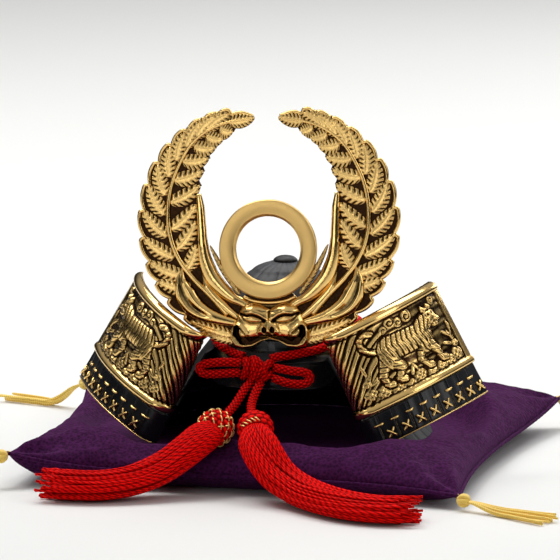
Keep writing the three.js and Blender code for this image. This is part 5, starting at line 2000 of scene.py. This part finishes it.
def frond_mesh():
    """All the relief of the right half, from the chin to the tip"""

    def rib_radius(v):
        return lerp(1.1, 0.55, v)

    mesh = new_mesh()
    for tip in OUTER_TIPS[3:]:
        root = tip - lerp(8, 17, smooth(tip, -60, -25))
        base = frond_point(root, frond_radius(root, 2) + 1.0)
        end = frond_point(tip, frond_radius(tip, 1) - 1.3)
        leaflet(mesh, base, end, 7.2, teeth=7, side=-1.0)
    for tip, lag in zip(INNER_TIPS, INNER_LAGS):
        root = tip - lag
        base = frond_point(root, frond_radius(root, 2) - 1.0)
        end = frond_point(tip, frond_radius(tip, 3) + 0.4)
        leaflet(mesh, base, end, 7.0, teeth=6, side=1.0)
    leaflet(mesh, (14.6, 77.4), (4.6, 79.0), 6.2, teeth=7, side=0.4)
    leaflet(mesh, (14.6, -4.6), (31.6, 1.2), 6.4, teeth=9, side=-0.6)
    leaflet(mesh, (13.0, -6.8), (25.6, -3.6), 3.6, teeth=7, side=-0.6)
    leaflet(mesh, (11.6, 11.2), (23.2, 30.4), 2.6, teeth=11, side=-0.9, high=0.6, tint=0.72)
    blade(mesh, HORN, HORN_HALVES, 2.3)
    blade(mesh, UPPER_BLADE, UPPER_BLADE_HALVES, 1.5)
    raised = 0.5 * PLATE + 0.35
    blade(mesh, GREAT_LEAF, GREAT_LEAF_HALVES, 2.0, hollow=(-0.10, 0.24, 1.3), base_z=raised)
    rib = [on_crest(x, y, 0.5 * PLATE + 0.55) for x, y in MIDRIB]
    tube(mesh, rib, rib_radius, around=10, step=0.8, polish=0.8)
    rim = [on_crest(x, y, 0.5 * PLATE - 0.05) for x, y in scallops()]
    tube(mesh, rim, 0.72, step=0.45, polish=1.0, smooth_line=False)
    return mesh


class KABUTO_OT_crest(bpy.types.Operator):
    """Make the cast crest: plate, fern fronds, horns and blades"""

    bl_idname = "kabuto.crest"
    bl_label = "Crest fronds"

    def execute(self, context):
        mesh = new_mesh()
        crest_plate(mesh)
        add_piece("crest_plate_cast", mesh, antique_gold, "gold", "crest_fronds", sharp=40)
        add_piece("crest_frond_right", frond_mesh(), antique_gold, "gold", outward=False)
        add_piece("crest_frond_left", crest_twin(frond_mesh()), antique_gold, "gold", outward=False)
        return {"FINISHED"}


def off_crest(point):
    """From the part back to the crest's own plane, in mm"""
    tilt, lean = math.radians(CREST_TILT), math.radians(90 - CREST_LEAN)
    x, y, z = point[0] - CREST_AT[0], point[1] - CREST_AT[1], point[2] - CREST_AT[2]
    y, z = y * math.cos(lean) + z * math.sin(lean), -y * math.sin(lean) + z * math.cos(lean)
    x, y = x * math.cos(tilt) + y * math.sin(tilt), -x * math.sin(tilt) + y * math.cos(tilt)
    return x, y, z


def crest_twin(mesh):
    """Mirror a mesh across the crest's own middle"""
    for vert in mesh.verts:
        x, y, z = off_crest(vert.co / MM)
        vert.co = Vector(on_crest(-x, y, z)) * MM
    bmesh.ops.reverse_faces(mesh, faces=mesh.faces[:])
    return mesh


RING_RADIUS = 19.1
RING_HOLE = 12.6
RING_THICK = 2.6
RING_AT = (0.0, 28.6)
RING_EDGE = 0.45
MOULDING = [(-10.2, 10.4), (-6.6, 8.9), (0, 8.1), (6.6, 8.9), (10.2, 10.4)]
MOULDING_UNDER = [(-9.2, 8.9), (-6.0, 7.6), (0, 6.9), (6.0, 7.6), (9.2, 8.9)]


class KABUTO_OT_ring(bpy.types.Operator):
    """Make the satin ring and the small moulding under it"""

    bl_idname = "kabuto.ring"
    bl_label = "Crest ring"

    def execute(self, context):
        back = 0.5 * PLATE + CLEARANCE
        mesh = new_mesh()
        profile = [
            (RING_HOLE + RING_EDGE, 0), (RING_HOLE, RING_EDGE), (RING_HOLE, RING_THICK - 1.1),
            (RING_HOLE + 0.9, RING_THICK - 0.12), (RING_HOLE + 1.3, RING_THICK),
            (RING_RADIUS - RING_EDGE, RING_THICK), (RING_RADIUS, RING_THICK - RING_EDGE),
            (RING_RADIUS, RING_EDGE), (RING_RADIUS - RING_EDGE, 0),
        ]
        turned(mesh, profile, 128)
        bmesh.ops.bevel(
            mesh,
            geom=[edge for edge in mesh.edges if edge.calc_face_angle(0.0) > math.radians(20)],
            offset=0.12 * MM,
            affect="EDGES",
            segments=2,
            profile=0.5,
            material=-1,
        )
        for vert in mesh.verts:
            x, y, z = vert.co / MM
            vert.co = Vector(on_crest(x + RING_AT[0], y + RING_AT[1], z + back)) * MM
        add_piece("crest_ring_turned", mesh, satin_gold, "satin_gold", "crest_ring", sharp=30)
        mesh = new_mesh()
        arc = [on_crest(x, y, 0.5 * PLATE + 0.7) for x, y in MOULDING]
        tube(mesh, arc, 0.6, around=10, step=0.6, polish=1.0)
        arc = [on_crest(x, y, 0.5 * PLATE + 0.4) for x, y in MOULDING_UNDER]
        tube(mesh, arc, 0.5, around=10, step=0.6, relief=0.4, polish=0.6)
        add_piece("crest_moulding", mesh, antique_gold, "gold")
        return {"FINISHED"}


# Half outline of the lion face, and the lines that are cut or raised on it, in the crest's own plane
FACE_OUTLINE = [
    (0, 5.7), (3.2, 7.4), (6.3, 8.2), (9.2, 7.7), (11.4, 5.8), (12.5, 3.2), (14.0, 0.2),
    (15.4, -2.8), (15.4, -6.2), (13.6, -8.5), (11.0, -9.1), (7.0, -8.7), (3.8, -6.7), (0, -5.7),
]
EYE_UPPER = [(1.7, 1.3), (3.8, 2.6), (6.2, 3.5), (9.0, 3.3), (11.5, 4.2)]
EYE_LOWER = [(1.9, 1.2), (4.2, 0.4), (7.0, 0.5), (9.6, 1.6), (11.2, 3.6)]
MOUTH_HALF = 12.0
MUZZLE_EDGE = [(0, -5.2), (1.2, -5.0), (3.2, -4.7), (6.0, -4.6), (9.6, -4.8), (MOUTH_HALF, -5.4)]
MOUTH_FLOOR = [(0, -5.35), (3.6, -6.2), (7.0, -7.8), (9.6, -8.1), (MOUTH_HALF, -7.4)]
FACE_POLISH = 0.55
CHEEK_CURL = [(15.1, -1.4), (13.4, 0.1), (11.6, -0.6), (9.9, -2.2), (8.6, -3.8)]
JAW_RIM = [
    (0, -6.0), (3.6, -6.9), (7.0, -8.5), (10.6, -8.8), (13.2, -8.0), (14.8, -5.8), (14.8, -2.9),
    (13.6, -0.8),
]
JOWL_HOLLOW = [(13.0, -1.6), (13.0, -3.8), (11.8, -5.6), (10.4, -6.6)]


def face_height(x, y):
    """Height of the face in mm, its patina, the distance to its outline, and the outline"""
    far = np.abs(x)
    loop = FACE_OUTLINE + [(-px, py) for px, py in FACE_OUTLINE[::-1][1:-1]]
    edge = line_gap(x, y, loop + loop[:1])
    height = 1.2 + 3.0 * (1 - np.exp(-edge / 1.9))
    height += 1.25 * np.exp(-(((far - 6.4) / 4.6) ** 2) - ((y - 5.2) / 2.3) ** 2)
    height += 0.9 * np.exp(-((far / 7.5) ** 2) - ((y + 2.9) / 2.2) ** 2)
    nose = np.clip(1 - far / (0.9 + 0.85 * np.clip(1.8 - y, 0, 5)), 0, 1)
    nose = nose * np.clip((1.9 - y) / 0.7, 0, 1)
    height += 1.35 * nose**0.7 * np.clip((y + 4.4) / 1.6, 0, 1)
    upper = line_gap(far, y, EYE_UPPER)
    lower = line_gap(far, y, EYE_LOWER)
    eye = np.clip(1 - (((far - 6.6) / 4.9) ** 2 + ((y - 1.9) / 1.35) ** 2), 0, 1)
    height += 0.35 * eye
    cuts = 1.25 * bell(upper, 0.48) + 0.80 * bell(lower, 0.40)
    crease = line_gap(far, y, [(0, 2.6), (0, 4.8)])
    cuts += 0.9 * bell(crease, 0.42)
    frown = line_gap(far, y, [(0.4, 4.6), (2.6, 4.5), (4.6, 5.3)])
    cuts += 0.28 * bell(frown, 0.4)
    nostril = np.hypot((far - 1.55) / 0.85, (y + 2.3) / 1.25)
    cuts += 1.7 * np.exp(-(nostril**4))
    side_line = line_gap(far, y, [(3.0, 0.0), (3.9, -1.6), (4.5, -3.4)])
    cuts += 0.5 * bell(side_line, 0.35)
    curl = line_gap(far, y, CHEEK_CURL)
    height += 0.9 * bell(curl, 0.75)
    inner = line_gap(far, y, [(12.9, -1.2), (11.2, -1.9), (9.4, -3.6)])
    cuts += 0.8 * bell(inner, 0.4)
    jowl = line_gap(far, y, JOWL_HOLLOW)
    cuts += 2.0 * bell(jowl, 0.95)
    jaw = line_gap(far, y, JAW_RIM)
    top_edge = np.interp(far, *zip(*MUZZLE_EDGE))
    low_edge = np.interp(far, *zip(*MOUTH_FLOOR))
    mouth = np.clip((top_edge - y) / 0.3, 0, 1) * np.clip((y - low_edge) / 0.3, 0, 1)
    mouth = mouth * (far < MOUTH_HALF)
    height = height - 3.2 * mouth
    height += 1.1 * bell(jaw, 0.7) * (1 - mouth)
    patina = 1.0 - np.clip(0.75 * cuts, 0, 1) - 0.85 * mouth
    patina -= 0.5 * bell(jowl, 0.95)
    return height - cuts, np.clip(patina, 0.0, 1.0), edge, loop


def inside(x, y, loop):
    """Whether points of an array lie inside an outline"""
    hits = np.zeros(np.shape(x), bool)
    for (ax, ay), (bx, by) in zip(loop, loop[1:] + loop[:1]):
        if ay == by:
            continue
        hits ^= ((ay > y) != (by > y)) & (x < (bx - ax) * (y - ay) / (by - ay) + ax)
    return hits


class KABUTO_OT_face(bpy.types.Operator):
    """Make the lion face in the middle of the crest"""

    bl_idname = "kabuto.face"
    bl_label = "Lion face"

    def execute(self, context):
        columns, rows = 170, 96
        x = np.linspace(-17.0, 17.0, columns + 1)[:, None] * np.ones((1, rows + 1))
        y = np.ones((columns + 1, 1)) * np.linspace(-10.2, 9.0, rows + 1)[None, :]
        height, patina, edge, loop = face_height(x, y)
        height = np.where(inside(x, y, loop), height, -0.2 - np.clip(edge, 0, 0.4))
        mesh = new_mesh()

        def lay(u, v):
            i, j = int(round(u * columns)), int(round(v * rows))
            z = 0.5 * PLATE + float(height[i, j])
            return (float(x[i, j]), float(y[i, j]), z), float(patina[i, j]), FACE_POLISH

        laid_grid(mesh, columns, rows, lay, wrap=False)
        outside = [vert for vert in mesh.verts if vert.co.z < (0.5 * PLATE - 0.45) * MM]
        bmesh.ops.delete(mesh, geom=outside, context="VERTS")
        for vert in mesh.verts:
            vert.co = Vector(on_crest(*(vert.co / MM))) * MM
        add_piece("crest_face_cast", mesh, antique_gold, "gold", "crest_face", outward=False)
        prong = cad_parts["crest_prong"]
        prong.data.materials.clear()
        prong.data.materials.append(look_of(satin_iron))
        return {"FINISHED"}


# Panel, registration and run

OPERATORS = [
    KABUTO_OT_stage,
    KABUTO_OT_cord,
    KABUTO_OT_cushion,
    KABUTO_OT_corner_tassels,
    KABUTO_OT_bowl,
    KABUTO_OT_visor,
    KABUTO_OT_panels,
    KABUTO_OT_bands,
    KABUTO_OT_neck_guard,
    KABUTO_OT_crest,
    KABUTO_OT_ring,
    KABUTO_OT_face,
]


class KABUTO_PT_sidebar(bpy.types.Panel):
    """Buttons for each group of pieces"""

    bl_idname = "KABUTO_PT_sidebar"
    bl_label = "Kabuto ornament"
    bl_space_type = "VIEW_3D"
    bl_region_type = "UI"
    bl_category = "Kabuto"

    def draw(self, context):
        for operator in OPERATORS:
            self.layout.operator(operator.bl_idname)


CLASSES = [KabutoSizes, KabutoColours, *OPERATORS, KABUTO_PT_sidebar]


def register():
    for cls in CLASSES:
        bpy.utils.register_class(cls)
    bpy.types.Scene.kabuto_sizes = bpy.props.PointerProperty(type=KabutoSizes)
    bpy.types.Scene.kabuto_colours = bpy.props.PointerProperty(type=KabutoColours)


def unregister():
    del bpy.types.Scene.kabuto_colours
    del bpy.types.Scene.kabuto_sizes
    for cls in reversed(CLASSES):
        bpy.utils.unregister_class(cls)


def main():
    register()
    for operator in OPERATORS:
        group, name = operator.bl_idname.split(".")
        getattr(getattr(bpy.ops, group), name)()


if __name__ == "__main__":
    main()
